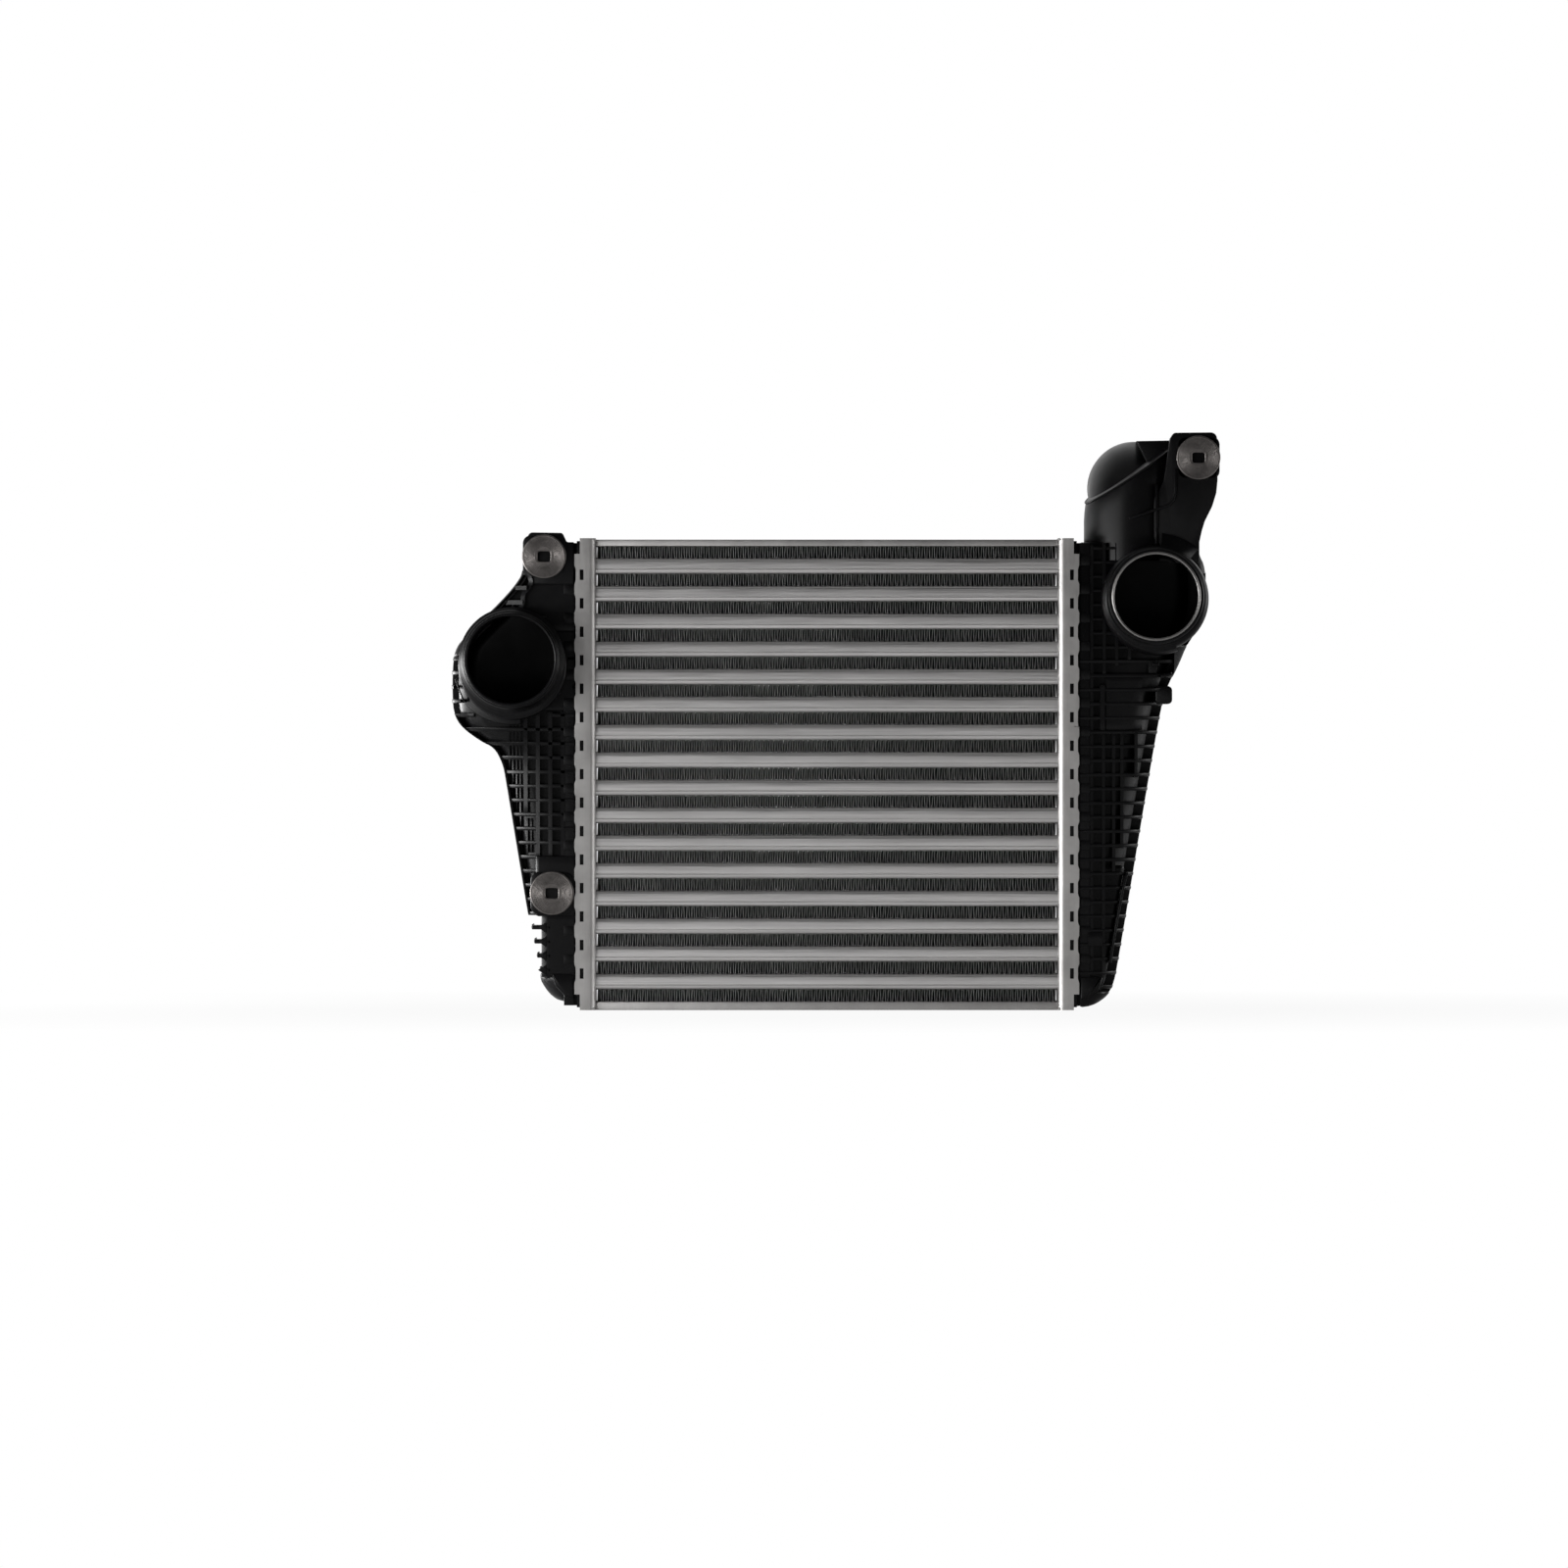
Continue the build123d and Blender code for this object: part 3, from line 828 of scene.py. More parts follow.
def crossings(centre, radius, z):
    """x of the inner and outer crossing of a level line with a circle, or None."""
    square_of_half = radius * radius - (z - centre[1]) ** 2
    if square_of_half <= 0:
        return None
    half = math.sqrt(square_of_half)
    return centre[0] - half, centre[0] + half


def inner_side(centre, radius):
    """Where a plain stretch ends at a round body, as a function of height; far off where it misses."""
    return lambda z: (crossings(centre, radius, z) or (FAR, 0.0))[0] + 1


def outer_side(centre, radius, least=-FAR):
    """Where a plain stretch starts again beyond a round body, as a function of height."""
    return lambda z: max(least, (crossings(centre, radius, z) or (FAR, 0.0))[1] - 1)


def level_rib(tank, shells, z, start, centre, radius, rim, rib_gauge):
    """A rib from start to the outer edge that stops at a round body."""
    cross = crossings(centre, radius, z)
    spans = [(start, min(FAR, cross[0])), (max(start, cross[1]), FAR)] if cross else [(start, FAR)]
    for a, b in spans:
        if b - a > 1.0:
            tank.slab(shells, z - rib_gauge / 2, z + rib_gauge / 2, a, b, rib_half, rim)


# ---- left tank
left = Tank(-1, left_edge)
left_port = (-200.3, 222.5)
left_housing = (-199.6, 219.0)
left_housing_radius = 34.6
left_round = ((-left_housing[0], left_housing[1]), left_housing_radius)
left_bosses = ((-179.7, 288.3), (-174.7, 74.4))
rib_round = (32.0, 16.0)


def strip(shells, line, width, front, back, bevel=0.6):
    """A raised rib along an open (x, z) line."""
    left_side, right_side = [], []
    for k, point in enumerate(line):
        here = Vector(point)
        d0 = (here - Vector(line[k - 1])).normalized() if k else None
        d1 = (Vector(line[k + 1]) - here).normalized() if k < len(line) - 1 else None
        d = (d0 or d1) + (d1 or d0)
        d.normalize()
        n = Vector((-d.y, d.x))
        reach = width / 2 / max(0.5, n.dot(Vector((-(d1 or d0).y, (d1 or d0).x))))
        left_side.append(tuple(here + n * reach))
        right_side.append(tuple(here - n * reach))
    shells.prism(left_side + right_side[::-1], front, back, bevel)


def slope_strip(shells, line, width, front, drop, back):
    """A raised rib along an open (x, z) line whose front falls away towards -x."""
    loops = []
    for k, point in enumerate(line):
        ahead = Vector(line[min(k + 1, len(line) - 1)]) - Vector(line[max(k - 1, 0)])
        n = Vector((-ahead.y, ahead.x)).normalized() * width / 2
        if n.x > 0:
            n = -n
        low, high = Vector(point) + n, Vector(point) - n
        loops.append(
            [
                (low.x, back, low.y),
                (low.x, front + drop, low.y),
                (high.x - 0.25, front, high.y),
                (high.x, front + 0.3, high.y),
                (high.x, back, high.y),
            ]
        )
    shells.loft(loops)


comb = Tank(-1, [(182.0, 0), (182.0, 400)])
pad = Tank(-1, [(184.9, 0), (184.9, 400)])
ridge_line = [
    (196.0, 240), (196.0, 252.7), (195.2, 253.9), (193.2, 258.6), (193.2, 261.7), (192, 265.6),
    (188.9, 268.8), (188.2, 272),
]
ridge_x = reader(ridge_line)


def spigot_profile(bore, outer, bead, foot_radius, front, back):
    """Closed (radius, y) profile of a hose spigot with a rounded lip, a bead and a flared foot."""
    lip = (outer - bore) / 2
    bead_start, bead_length = front + 9.0, 4.0
    profile = [(bore, back), (foot_radius, back), (foot_radius, back - 2.4)]
    profile += [(outer + 1.9, back - 4.6), (outer + 0.5, back - 7.0), (outer, back - 10.0)]
    for k in range(7):
        swell = (bead - outer) * math.sin(math.pi * k / 6)
        profile.append((outer + swell, bead_start - bead_length * k / 6))
    return profile + arc(((outer + bore) / 2, front + lip), lip, 0, -math.pi, 6)


def left_body():
    """Walls with the foot in the header, housing and bore; the walls step in behind the open comb."""
    solid = Shells()
    left.slab(solid, 4.4, 25, wall_start, FAR, wall_half, 13.0, 4.2, 2.5)
    comb.slab(solid, 20, 64, wall_start, FAR, wall_half, 6.0, 2.0, 0.5)
    left.slab(solid, 59.5, 272, wall_start, FAR, wall_half, 13.0, 4.2, 2.0)
    foot(solid, -1)
    r = left_housing_radius
    rim = [(34.3, -34.6), (33.6, -35.5), (32.4, -36)]
    solid.lathe(left_housing, [(0.01, 20), (r, 20), (r, -33.4), *rim, (0.01, -36)], 128)
    hollow = Shells()
    left.slab(hollow, 9.0, 22, hollow_start, FAR, hollow_half, 10.0, 6.8, 2.0)
    comb.slab(hollow, 18, 66, hollow_start, FAR, hollow_half, 5.0, 5.6, 0.5)
    left.slab(hollow, 62, 267, hollow_start, FAR, hollow_half, 10.0, 6.8, 2.0)
    hollow.lathe(left_port, [(0.01, 15), (27.6, 15), (27.6, -70), (0.01, -70)], 128)
    return carved("tank_left", solid, hollow)


def left_collar(shells):
    """The smooth collar below the port, and the bright edge of the pocket beside it."""
    sunk_from = 40.7
    patch = []
    for k in range(37):
        turn = math.radians(223 + 55 * k / 36)
        ring = []
        for r in (32.5, 34.6, 36.2, 37.8, 39.4, 40.6, 40.9):
            x, z = left_port[0] + r * math.cos(turn), left_port[1] + r * math.sin(turn)
            sunk = 0.0 if r < sunk_from else 0.8
            ring.append((x, sunk - left.front(-x, z, 32.6, (40.0, 13.0)), z))
        patch.append(ring + turned(left_port, [(40.9, -14.0), (32.5, -14.0)], turn))
    shells.loft(patch)
    strip(shells, [(-230.6, 196.0), (-233.6, 203.5), (-236.0, 210.6)], 0.9, -31.0, -22, 0.3)


def left_plain(shells):
    """The thin flange along the outer edge, the middle web that joins the ribs, and plain stretches."""
    at_housing = outer_side(*left_round)
    to_housing = inner_side(*left_round)
    for tank, low, high, start, stop, half, rim, inset, bevel in (
        (left, 61, 167, left.within(9.0), FAR, 2.0, 0.3, 0.0, 0.4),
        (left, 165, 279, lambda z: max(left.edge(z) - 14.0, at_housing(z)), FAR, 2.0, 0.3, 0.0, 0.4),
        (left, 61, 167, left.within(1.4), FAR, 16.4, 0.4, 0.0, 0.3),
        (left, 166, 187, left.within(1.2), FAR, 18.0, 0.4, 0.0, 0.3),
        (left, 238, 279, left.within(1.3), FAR, 30.6, 5, 0.0, 0.4),
        (left, 246, 276, left.within(4.3), left.within(3.2), 28.6, 5, 0.0, 0.3),
        (left, 4.4, 23.5, rail_base, FAR, 29.0, rib_round, 0.0, 2.0),
        (comb, 21, 62, rail_base, FAR, rib_half, (4.6, 2.2), 0.6, 0.5),
        (pad, 60, 98, rail_base, FAR, rib_half + 0.8, 2.2, 0.0, 0.8),
        (left, 190.5, 242, rail_base, lambda z: min(187.5, to_housing(z)), rib_half, 17, 0.0, 0.8),
        (left, 225, 239.5, at_housing, FAR, 27.5, 8, 0.2, 0.6),
        (left, 240, 272, rail_base, lambda z: min(ridge_x(z), to_housing(z)), rib_half, 10, 0.0, 0.8),
    ):
        tank.slab(shells, low, high, start, stop, half, rim, inset, bevel)
    # the raised panel in the bottom corner
    panel = [(-161, 7.4), (-166.8, 9.2), (-172.6, 15.4), (-175.0, 23.2), (-161, 23.2)]
    shells.prism(rounded_outline(panel, [0, 4, 5, 1, 0]), -31.2, root, 1.3)


def left_rib_rim(z):
    """How the front of a level rib falls away towards the outer edge, by height."""
    if z < 167:
        return rib_round
    return (38.0, 14.0) if z < 190 else (10.0, 9.0)


def left_ribs(shells):
    """The level ribs, the open comb below them, the uprights and the fine flutes between."""
    for k in range(-18, 8):
        z = 187.5 + rib_pitch * k
        if 61 < z < 229:
            start = pad.edge(0) if z < 98 else rail_base
            reach = 40.2 if z < 210 else 34.9
            level_rib(left, shells, z, start, left_round[0], reach, left_rib_rim(z), 2.5)
    for z in (52.5, 43.5, 34.5, 25.5):
        tip = left.edge(z) - 0.2
        left.slab(shells, z - 1.2, z + 1.2, 176, FAR, rib_half, 0.8, 1.0, 0.5)
        left.slab(shells, z - 1.2, z + 2.2, tip - 1.6, tip, rib_half, 0.8, 1.4, 0.5)
        shells.prism([(-178.0, z - 3.6), (-183.6, z), (-178.0, z + 3.6)], -30.4, 30.4, 0.5)
    for x, low, high, inset in (
        (167.8, 98, 190, 0.5), (175.8, 98, 190, 0.3), (183.7, 98, 190, 0.1), (191.5, 125, 189, 0.0),
    ):
        left.slab(shells, low, high, x - 1.25, x + 1.25, rib_half, rib_round, inset, 0.3)
    for x, low, high in (
        (188.0, 100, 122), (190.6, 100, 122), (195.0, 100, 186),
        (197.4, 108, 186), (199.8, 124, 186), (202.0, 136, 186),
    ):
        left.slab(shells, low, high, x - 0.4, x + 0.4, wall_half + 1.4, 13.0, 3.4, 0.2)


def left_ridge(shells):
    """The ridge beside the port, its cross ribs and the floor of the pockets above."""
    crest = -33.2
    ridge = [
        (-196.2, 251.6), (-195.2, 254.6), (-193.3, 258.6), (-193.2, 262.2), (-192, 265.8),
        (-189, 269.2), (-187.9, 272.6), (-189, 275.8), (-192.4, 279.4),
    ]
    slope_strip(shells, ridge, 2.8, crest, 2.1, root)
    floor = [(-187, 260), (-204, 260), (-195.4, 273.4), (-193.2, 281), (-188, 281)]
    shells.prism(floor, -23.6, plate_back, 0.3)
    for low, high, inner in ((267.1, 269.7, 190.6), (257.8, 260.5, 193.0)):
        width = left.edge(high) - 0.8 - inner
        middle = -(inner + width / 2)
        slope_strip(shells, [(middle, low), (middle, high)], width, crest, 0.5 * width, root)
    strip(shells, [(-199.5, 252.4), (-199.5, 258)], 1.8, -28.0, root, 0.4)
    strip(shells, [(-186.4, 250.2), (-178.2, 250.6)], 2.0, -31.2, -28, 0.6)


def make_left_tank():
    extra = Shells()
    extra.lathe(left_port, spigot_profile(27.6, 29.8, 31.3, 33.6, -66, -34), 160)
    left_collar(extra)
    rail_teeth(extra, -1)
    left_plain(extra)
    left_ribs(extra)
    left_ridge(extra)
    # the upper ear plate
    outline = [
        (-161, 270.6), (-187.2, 270.6), (-187.2, 273), (-188.6, 276.2), (-193.4, 280.6), (-192.4, 283),
        (-189.6, 303.7), (-168, 303.4), (-165.3, 297.5), (-161, 297.5),
    ]
    outline = rounded_outline(outline, [0, 1, 1, 2, 1, 3, 3, 2, 2, 0])
    extra.prism(outline, -31.4, plate_back, 0.8)
    for centre in left_bosses:
        ear_boss(extra, centre)
    place("tank_left_moulded", [left_body(), extra.mesh("tank_left")], "tank", ["tank_left"])


def ear_boss(shells, centre):
    """The square seat of a grommet, its corners rounded."""
    front, back = -31.7, -12.2
    outer = square(centre, 13.5, 5)
    inner = square(centre, 10.6, 5)
    rim = [(inset_outline(outer, inset), front + rise) for inset, rise in rounding(0.8)]
    shells.stack([*rim, (outer, back), (inner, back), (inner, front)], closed=True)


make_left_tank()

# ---- right tank
right = Tank(1, right_edge)
right_port = (208.6, 262.6)
right_housing = (208.6, 261.4)
right_housing_radius = 33.8
right_round = (right_housing, right_housing_radius)
right_boss = (236.2, 351.1)
elbow_x = 196.8
bend_radius = 32.0
outlet_z = 333.2
collar_x = 195.4


def elbow_loops(radius, bottom, end_y, count=72, steps=14):
    """Circles along the riser, its bend to the back and the outlet."""
    bend_z = outlet_z - bend_radius
    stations = [(0, bottom, 0.0)]
    for k in range(steps + 1):
        a = math.pi / 2 * k / steps
        stations.append((bend_radius * (1 - math.cos(a)), bend_z + bend_radius * math.sin(a), a))
    stations.append((end_y, outlet_z, math.pi / 2))
    loops = []
    for y, z, a in stations:
        # across the path: u along x, and v along the direction that turns from -y to +z
        ring = circle((0, 0), radius, count)
        loops.append([(elbow_x + u, y - v * math.cos(a), z + v * math.sin(a)) for u, v in ring])
    return loops


def sleeve_top(x, y):
    """Height of the sleeve's slanted edge."""
    return 343.1 + (0.555 * (x - 193.7) + 0.1 * y) / 0.83


def duct_collar():
    """The sleeve around the riser, its slanted top edge rounded."""
    loops = []
    for radius, drop in ((31.4, None), (31.4, 12.0), (31.1, 7.0), (30.6, 3.0), (30.1, 0.8), (29.3, 0.0)):
        ring = circle((collar_x, 0), radius, 96)
        loops.append([(x, y, 286.0 if drop is None else sleeve_top(x, y) - drop) for x, y in ring])
    return loops


def duct_lip():
    """The raised lip along the sleeve's slanted edge, as sections of a thin round bar."""
    radius, bar = 30.2, 0.85
    loops = []
    for t in full_turn(120):
        x, y = collar_x + radius * math.cos(t), radius * math.sin(t)
        z = sleeve_top(x, y) - 0.9
        section = circle((0, 0), bar, 10)
        loops.append([(x + out * math.cos(t), y + out * math.sin(t), z + up) for out, up in section])
    return loops


def right_body():
    """Walls with the foot in the header, housing, port and duct, less the air's way through them."""
    solid = Shells()
    right.slab(solid, 1.9, 92, wall_start, FAR, wall_half, 3.0, 6.6, 2.0)
    right.slab(solid, 85, 297.5, wall_start, FAR, wall_half, 14.0, 6.6, 2.0)
    foot(solid, 1)
    r, shoulder, reach = right_housing_radius, 3.2, 6.3
    angles = [math.pi / 2 * k / 6 for k in range(7)]
    rim = [(r - shoulder * (1 - math.cos(a)), -43.5 - reach * math.sin(a)) for a in angles]
    solid.lathe(right_housing, [(0.01, 20), (r, 20), *rim, (0.01, -43.5 - reach)], 128)
    lip = [(30.4, -63.2), (29.9, -63.9), (29.3, -64)]
    solid.lathe(right_port, [(0.01, -20), (30.4, -20), *lip, (0.01, -64)], 128)
    solid.loft(elbow_loops(29.6, 286, 34.5))
    bead = [(29.0, 30), (29.0, 50.5), (29.5, 51.5), (29.5, 54), (29.0, 55), (28.9, 57.4), (28.3, 58)]
    solid.lathe((elbow_x, outlet_z), [(0.01, 30), *bead, (0.01, 58)])
    solid.loft(duct_collar())
    hollow = Shells()
    right.slab(hollow, 9.0, 289, hollow_start, FAR, hollow_half, 11.0, 9.1, 2.0)
    hollow.lathe(right_port, [(0.01, 15), (28.33, 15), (28.33, -70), (0.01, -70)], 128)
    hollow.loft(elbow_loops(26.8, 286.5, 60))
    return carved("tank_right", solid, hollow)


def right_plain(shells):
    """The middle spine that joins the ribs along the outer side, and plain stretches."""
    at_housing = outer_side(*right_round, 234.0)
    for low, high, start, stop, half, rim, inset, bevel in (
        (10, 226, right.within(9.0), FAR, 1.5, 0.3, 0.0, 0.4),
        (225, 297, right.within(9.0), FAR, 1.5, 0.3, 0.0, 0.4),
        (1.9, 12, rail_base, FAR, rib_half, 12, 0.0, 1.5),
        (178, 212, 177.5, 200.5, rib_half - 0.6, 15.0, 6.6, 0.8),
        (178, 207, 173.8, 176.8, rib_half + 0.4, 15.0, 0.0, 0.5),
        (212, 232, 221, FAR, rib_half, 12, 0.0, 1.0),
        (232, 297, at_housing, FAR, 22.0, 6, 0.0, 1.0),
        (40.5, 50, rail_edge - 1, 175.2, rib_half + 0.5, 15, 0.0, 0.7),
    ):
        right.slab(shells, low, high, start, stop, half, rim, inset, bevel)
    # the raised panel in the bottom corner
    panel = [(161, 6.4), (167.6, 8.0), (173.2, 12.6), (175.6, 21.2), (161, 21.2)]
    shells.prism(rounded_outline(panel, [0, 4, 5, 1, 0]), -31.4, root, 1.8)


def right_ribs(shells):
    """The level ribs, shorter beside the housing, the uprights, and the slanted one near the foot."""
    for k in range(-23, 10):
        z = 212.7 + rib_pitch * k
        if 8 < z < 226:
            level_rib(right, shells, z, rail_base, right_housing, 34.6, 15.0, 2.2)
        elif 226 <= z < 296:
            cross = crossings(right_housing, 34.0, z)
            stop = cross[0] + 0.6 if cross else 212
            right.slab(shells, z - 0.9, z + 0.9, rail_base, stop, rib_half - 1.0, 12, 0.3)
    for x, low, high, drop in (
        (168.4, 24, 296, 0.7), (175.9, 22, 178, 0.2), (182.4, 88, 178, 0.5), (187.6, 103, 178, 0.1),
        (196.6, 148, 178, 0.0), (176.4, 213, 251.5, 0.7), (176.4, 271, 297, 0.7), (184.4, 219, 238.5, 0.7),
        (184.4, 284.5, 297, 0.7), (192.4, 222, 232, 0.7), (192.4, 291, 297, 0.7), (200.4, 293.5, 297, 0.7),
    ):
        right.slab(shells, low, high, x - 1.0, x + 1.0, rib_half - drop, 15.0, 0.2, 0.3)
    strip(shells, [(180.2, 30), (185.0, 59), (188.4, 77), (191.0, 87.5)], 1.5, -29.4, root, 0.4)


def right_details(shells):
    """Catches below the port, the lug on the outer edge, the housing's flared foot and a small block."""
    shells.block((204.4, -31.6, 214.2), (209.8, -22, 222.6), 1.0)
    shells.block((206.8, -32.8, 218.6), (211.2, -24, 220.8), 0.7)
    strip(shells, [(212.2, 211.6), (219.4, 213.8)], 2.2, -31.6, root, 0.7)
    lug = rounded_outline([(209, 194.6), (219.7, 194.6), (219.7, 206), (209, 206)], 2.8)
    shells.prism(lug, -26, -6, 1.0)
    # the flare is broad below, short above on the right
    below = [(31, -49), (33.0, -48.4), (34.6, -46.2), (35.1, -43), (35.1, -20), (31, -20)]
    shells.sector((209.6, 260.6), below, 172, 292, 56)
    flare = [(31, -48), (33.4, -47.0), (35.6, -43.0), (37.6, -38.6), (40.2, -34.6), (42.2, -31.6)]
    shells.sector(right_housing, [*flare, (42.2, -18), (31, -18)], 49, 84)
    shells.block((237.6, -27, 271.6), (241.0, -14, 278.0), 1.4)


def right_ear(shells):
    """The ear plate beside the outlet: a shelf, the grommet's seat, a front skin, a wall and two ribs."""
    shelf = [(197.5, 362.3), (218.8, 362.7), (218.8, 338), (209, 338), (203, 350)]
    shells.prism(shelf, -8, 31, 0.8)
    ear_boss(shells, right_boss)
    outline = [
        (214, 336), (218.1, 363.3), (220.5, 367), (248, 367.3), (248.4, 337), (247.6, 328.8), (245, 320.3),
        (240.2, 310.6), (238.4, 304.8), (236.8, 297.5), (236.8, 284), (222, 284), (208, 300), (208, 325),
    ]
    outline = rounded_outline(outline, [3, 2, 2.5, 4, 4, 6, 6, 8, 4, 4, 2, 0, 0, 6])
    shells.prism(outline, -31.7, -28.7, 0.7)
    skin, shoulder = -30.0, plate_back - 0.5
    wall = ((0, skin), (0, shoulder), (0.5, plate_back), (2.5, plate_back), (3.0, shoulder), (3.0, skin))
    shells.stack([(inset_outline(outline, inset), y) for inset, y in wall], closed=True)
    slanted = [
        (192.2, 312.6), (200.9, 315.4), (210.3, 318.6), (217.4, 321.2), (220.2, 324.4), (221.4, 329),
        (221.6, 344),
    ]
    upright = [(209.5, 296), (209.5, 303.4), (209.0, 305), (209.6, 306.8), (209.6, 334)]
    for line in (slanted, upright):
        strip(shells, line, 1.7, -33.3, plate_back, 0.7)


def make_right_tank():
    extra = Shells()
    extra.loft(duct_lip(), closed=True)
    rail_teeth(extra, 1)
    right_plain(extra)
    right_ribs(extra)
    right_details(extra)
    right_ear(extra)
    place("tank_right_moulded", [right_body(), extra.mesh("tank_right")], "tank", ["tank_right"])


make_right_tank()

# ---------------------------------------------------------------- ring, bushes, grommets
def ring_profile(outer, bore, front, back, lip):
    """Closed (radius, y) profile of a ring with a rounded lip."""
    middle, half = (outer + bore) / 2, (outer - bore) / 2
    angles = [math.pi * k / 6 for k in range(1, 6)]
    crown = [(middle + half * math.cos(a), front + lip - lip * math.sin(a)) for a in angles]
    return [(bore, back), (outer, back), (outer, front + lip), *crown, (bore, front + lip)]


ring = Shells()
ring.lathe(right_port, ring_profile(28.3, 26.5, -64.8, -55.8, 0.7), 160)
place("port_ring_turned", [ring.mesh("ring")], "ring", ["port_ring"], sharp=45)


def window(centre, width, height):
    """A rounded window sampled by direction, so that it lofts to a circle."""
    power = 6
    outline = []
    for t in full_turn(64):
        c, s = math.cos(t), math.sin(t)
        r = (abs(c / (width / 2)) ** power + abs(s / (height / 2)) ** power) ** (-1 / power)
        outline.append((centre[0] + r * c, centre[1] + r * s))
    return outline


def make_bushes():
    """A sleeve with a disc-shaped head, fine turning marks and a window, for each mount."""
    back, front = -32.2, -34.2
    head = [
        (3.2, -16.7), (6.3, -16.7), (6.4, -17.0), (6.4, back), (13.5, back), (14.0, back - 0.4),
        (14.0, front + 0.6), (13.7, front + 0.2), (13.2, front),
    ]
    for k in range(9):
        mark = 12.7 - 0.75 * k
        head += [(mark, front + 0.02), (mark - 0.25, front + 0.14), (mark - 0.5, front + 0.02)]
    windows = (
        (9.0, 7.4, front + 0.05), (8.2, 6.6, front + 0.3), (8.0, 6.4, front + 0.8), (8.0, 6.4, back + 9.5),
    )
    pin_hole = ((3.3, back + 9.7), (3.2, back + 10.0))
    shells = Shells()
    for centre in bush_places:
        steps = [(circle(centre, radius), y) for radius, y in head]
        steps += [(window(centre, width, height), y) for width, height, y in windows]
        steps += [(circle(centre, radius), y) for radius, y in pin_hole]
        shells.stack(steps, closed=True)
    place("mount_bushes_turned", [shells.mesh("bushes")], "bush", ["mount_bushes"], sharp=25)


def make_grommets():
    """A square rubber block with a round bore in each seat."""
    front, back, bore = -32.2, plate_back, 6.45
    shells = Shells()
    for x, z in bush_places:
        outer = square((x, z), 10.5, 4.9, 15)
        angles = [math.atan2(q - z, p - x) for p, q in outer]
        inner = [(x + bore * math.cos(a), z + bore * math.sin(a)) for a in angles]
        edge = [(inset_outline(outer, 0.5), front), (outer, front + 0.5), (outer, back)]
        shells.stack([*edge, (inner, back), (inner, front)], closed=True)
    place("mount_grommets_moulded", [shells.mesh("grommets")], "grommet", ["mount_grommets"])


bush_places = (*left_bosses, right_boss)
make_bushes()
make_grommets()
for name in ("seal_left", "seal_right"):
    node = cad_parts[name]
    node.data.materials.clear()
    node.data.materials.append(looks["seal"])


# ---------------------------------------------------------------- floor, light and camera
def make_floor():
    """A pale floor that looks almost white to the camera and is weak in reflections."""
    half = 9
    mesh = bpy.data.meshes.new("floor")
    corners = [(-half, -half, 0), (half, -half, 0), (half, half, 0), (-half, half, 0)]
    mesh.from_pydata(corners, [], [(0, 1, 2, 3)])
    floor = linked("floor", mesh)
    floor.location.z = -0.0002
    material = bpy.data.materials.new("pale_floor")
    nodes = Nodes(material)
    nodes.tree.nodes.clear()
    path = nodes.node("LightPath").outputs
    weak = nodes.math("MULTIPLY", nodes.mirrored(path), 0.25)
    direct = nodes.math("MAXIMUM", path["Is Camera Ray"], weak)
    here = nodes.node("TexCoord").outputs["Object"]
    distance = nodes.node("VectorMath", operation="LENGTH", Vector=here).outputs["Value"]
    seen = nodes.math("MULTIPLY", direct, nodes.spread(distance, 0.92, 1.0, 0.3, 0.9))
    pale = nodes.node("BsdfDiffuse", Color=(0.85, 0.85, 0.85))
    nodes.choose("OutputMaterial", seen, pale, nodes.node("Emission", Strength=1.0))
    mesh.materials.append(material)


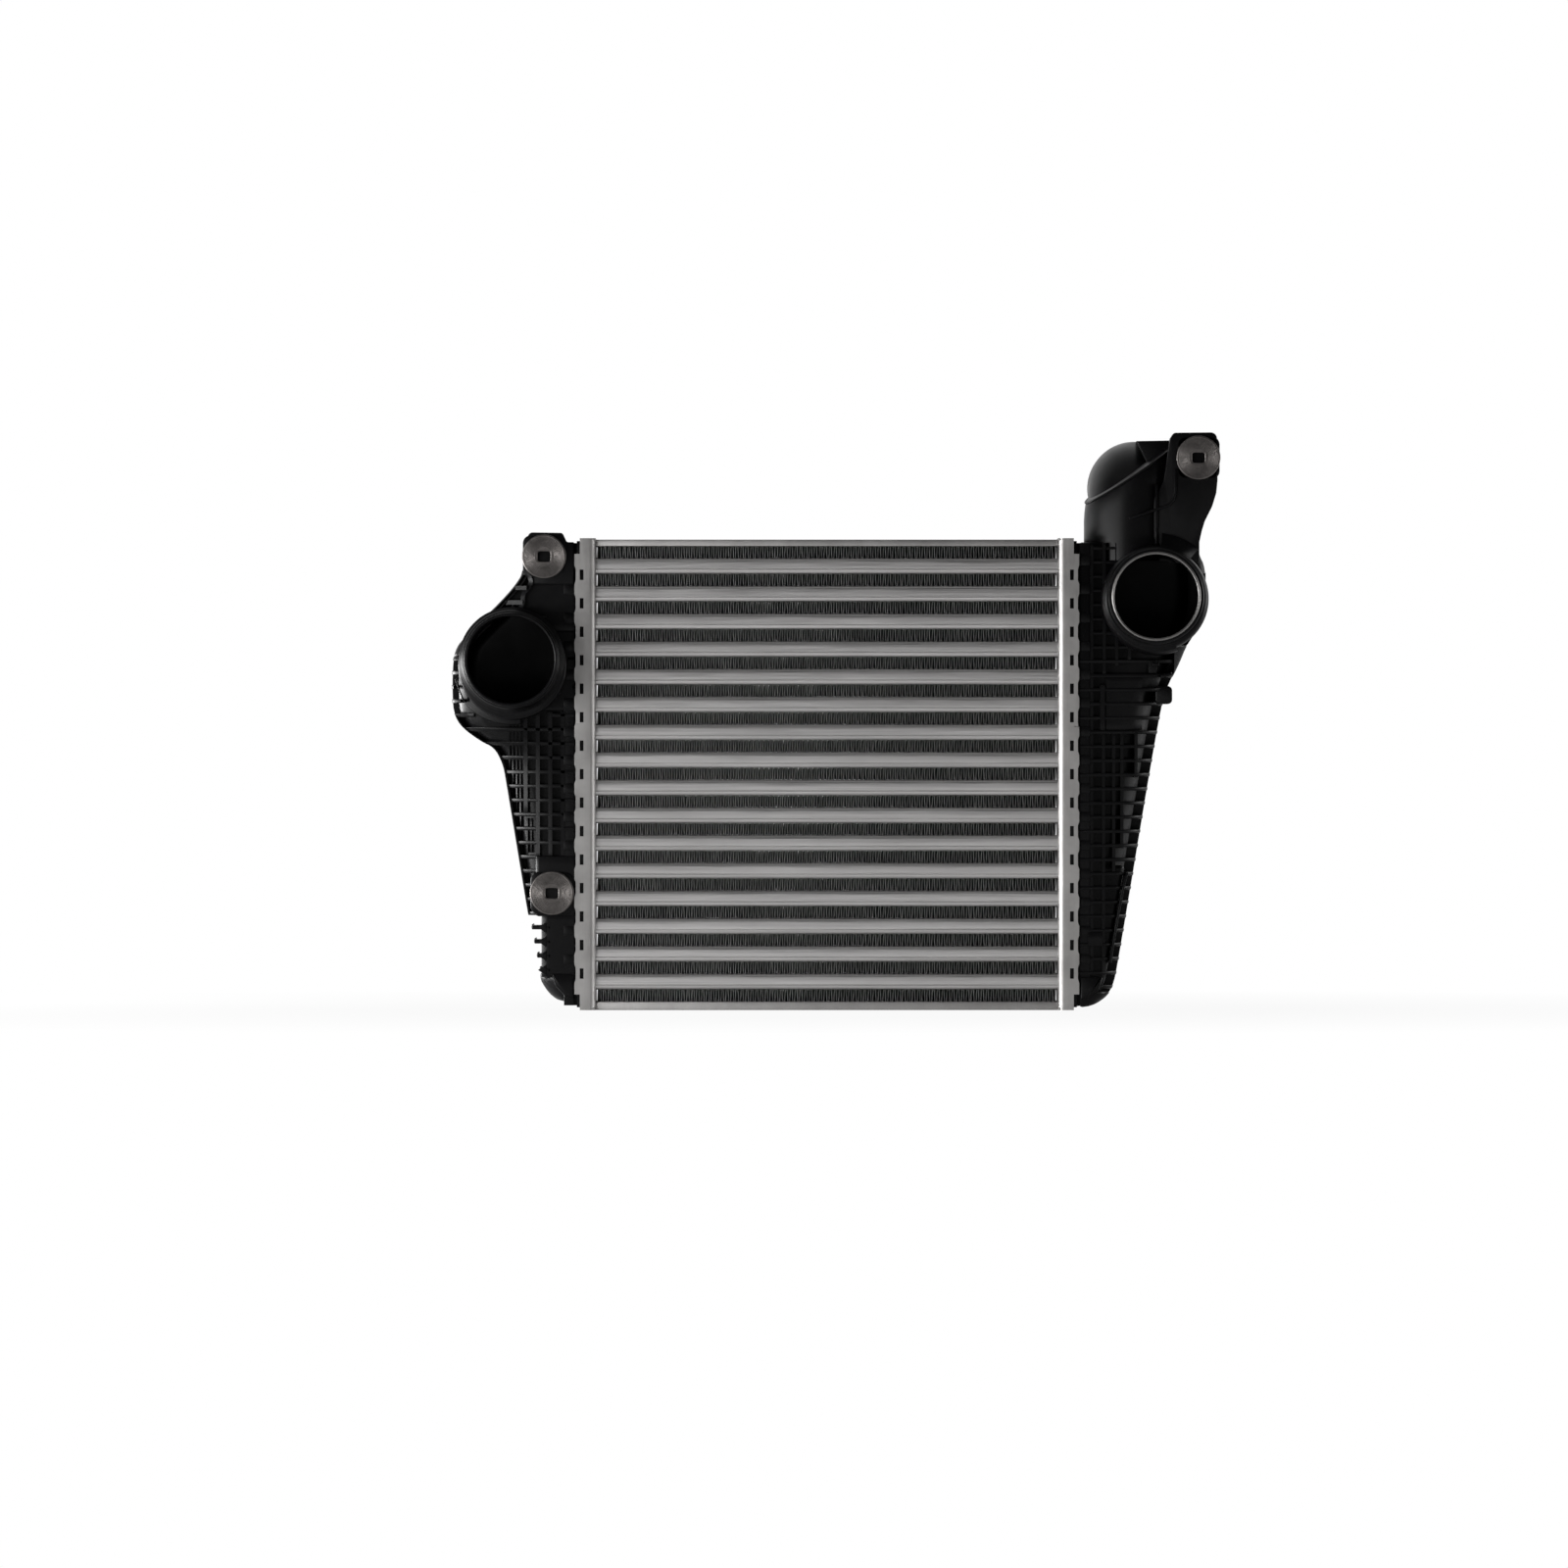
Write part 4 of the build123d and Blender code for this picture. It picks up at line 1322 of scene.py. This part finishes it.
def make_world():
    """White to the camera and in reflections from behind the part, dim everywhere else."""
    scene.world = bpy.data.worlds.new("studio")
    nodes = Nodes(scene.world)
    nodes.tree.nodes.clear()
    path = nodes.node("LightPath").outputs
    way = nodes.node("SeparateXYZ", Vector=nodes.node("TexCoord").outputs["Generated"])
    behind = nodes.spread(way.outputs["Y"], 0, 1, 0.15, 0.75)
    shown = nodes.math("MULTIPLY", nodes.mirrored(path), behind)
    either = nodes.math("MAXIMUM", shown, path["Is Camera Ray"])
    room = nodes.node("Background", Color=(1, 1, 1), Strength=0.035)
    nodes.choose("OutputWorld", either, room, nodes.node("Background", Color=(1, 1, 1), Strength=1.0))


def softbox(name, place_at, target, size, power):
    """A rectangular lamp that faces the target; metres and watts."""
    light = bpy.data.lights.new(name, "AREA")
    light.shape = "RECTANGLE"
    light.size, light.size_y = size
    light.energy = power
    lamp = linked(name, light)
    lamp.location = place_at
    lamp.rotation_euler = (Vector(target) - Vector(place_at)).to_track_quat("-Z", "Y").to_euler()


make_floor()
make_world()
softbox("left_box", (-0.95, 0.33, 0.1), (-0.2, 0, 0.1), (0.9, 0.3), 15)
softbox("left_wide", (-1.5, -0.55, 0.1), (-0.15, 0, 0.1), (1.1, 0.33), 24)
softbox("right_box", (1.5, 0.2, 0.3), (0.1, 0, 0.15), (0.9, 0.9), 12)
softbox("right_wide", (1.5, -0.5, 0.1), (0.15, 0, 0.1), (1.1, 0.33), 5)
softbox("front_left", (-1.5, -1.75, 0.09), (0, 0, 0.09), (1.0, 0.3), 18)
softbox("upper_left", (-1.35, -1.9, 0.6), (0, 0, 0.3), (0.6, 0.5), 1.2)
softbox("top_box", (0, -0.3, 1.9), (0, 0, 0.15), (2.2, 1.2), 2.5)
softbox("low_fill", (0.0, -0.9, 0.045), (0, 0, 0.045), (1.5, 0.08), 0.45)

camera_data = bpy.data.cameras.new("camera")
camera_data.sensor_width = 36.0
camera_data.lens = 324.0
camera = linked("camera", camera_data)
camera.location = (-0.0272, -9.0, 0.14375)
camera.rotation_euler = (math.pi / 2, 0, 0)
scene.camera = camera
scene.view_settings.view_transform = "Standard"

bpy.context.view_layer.update()
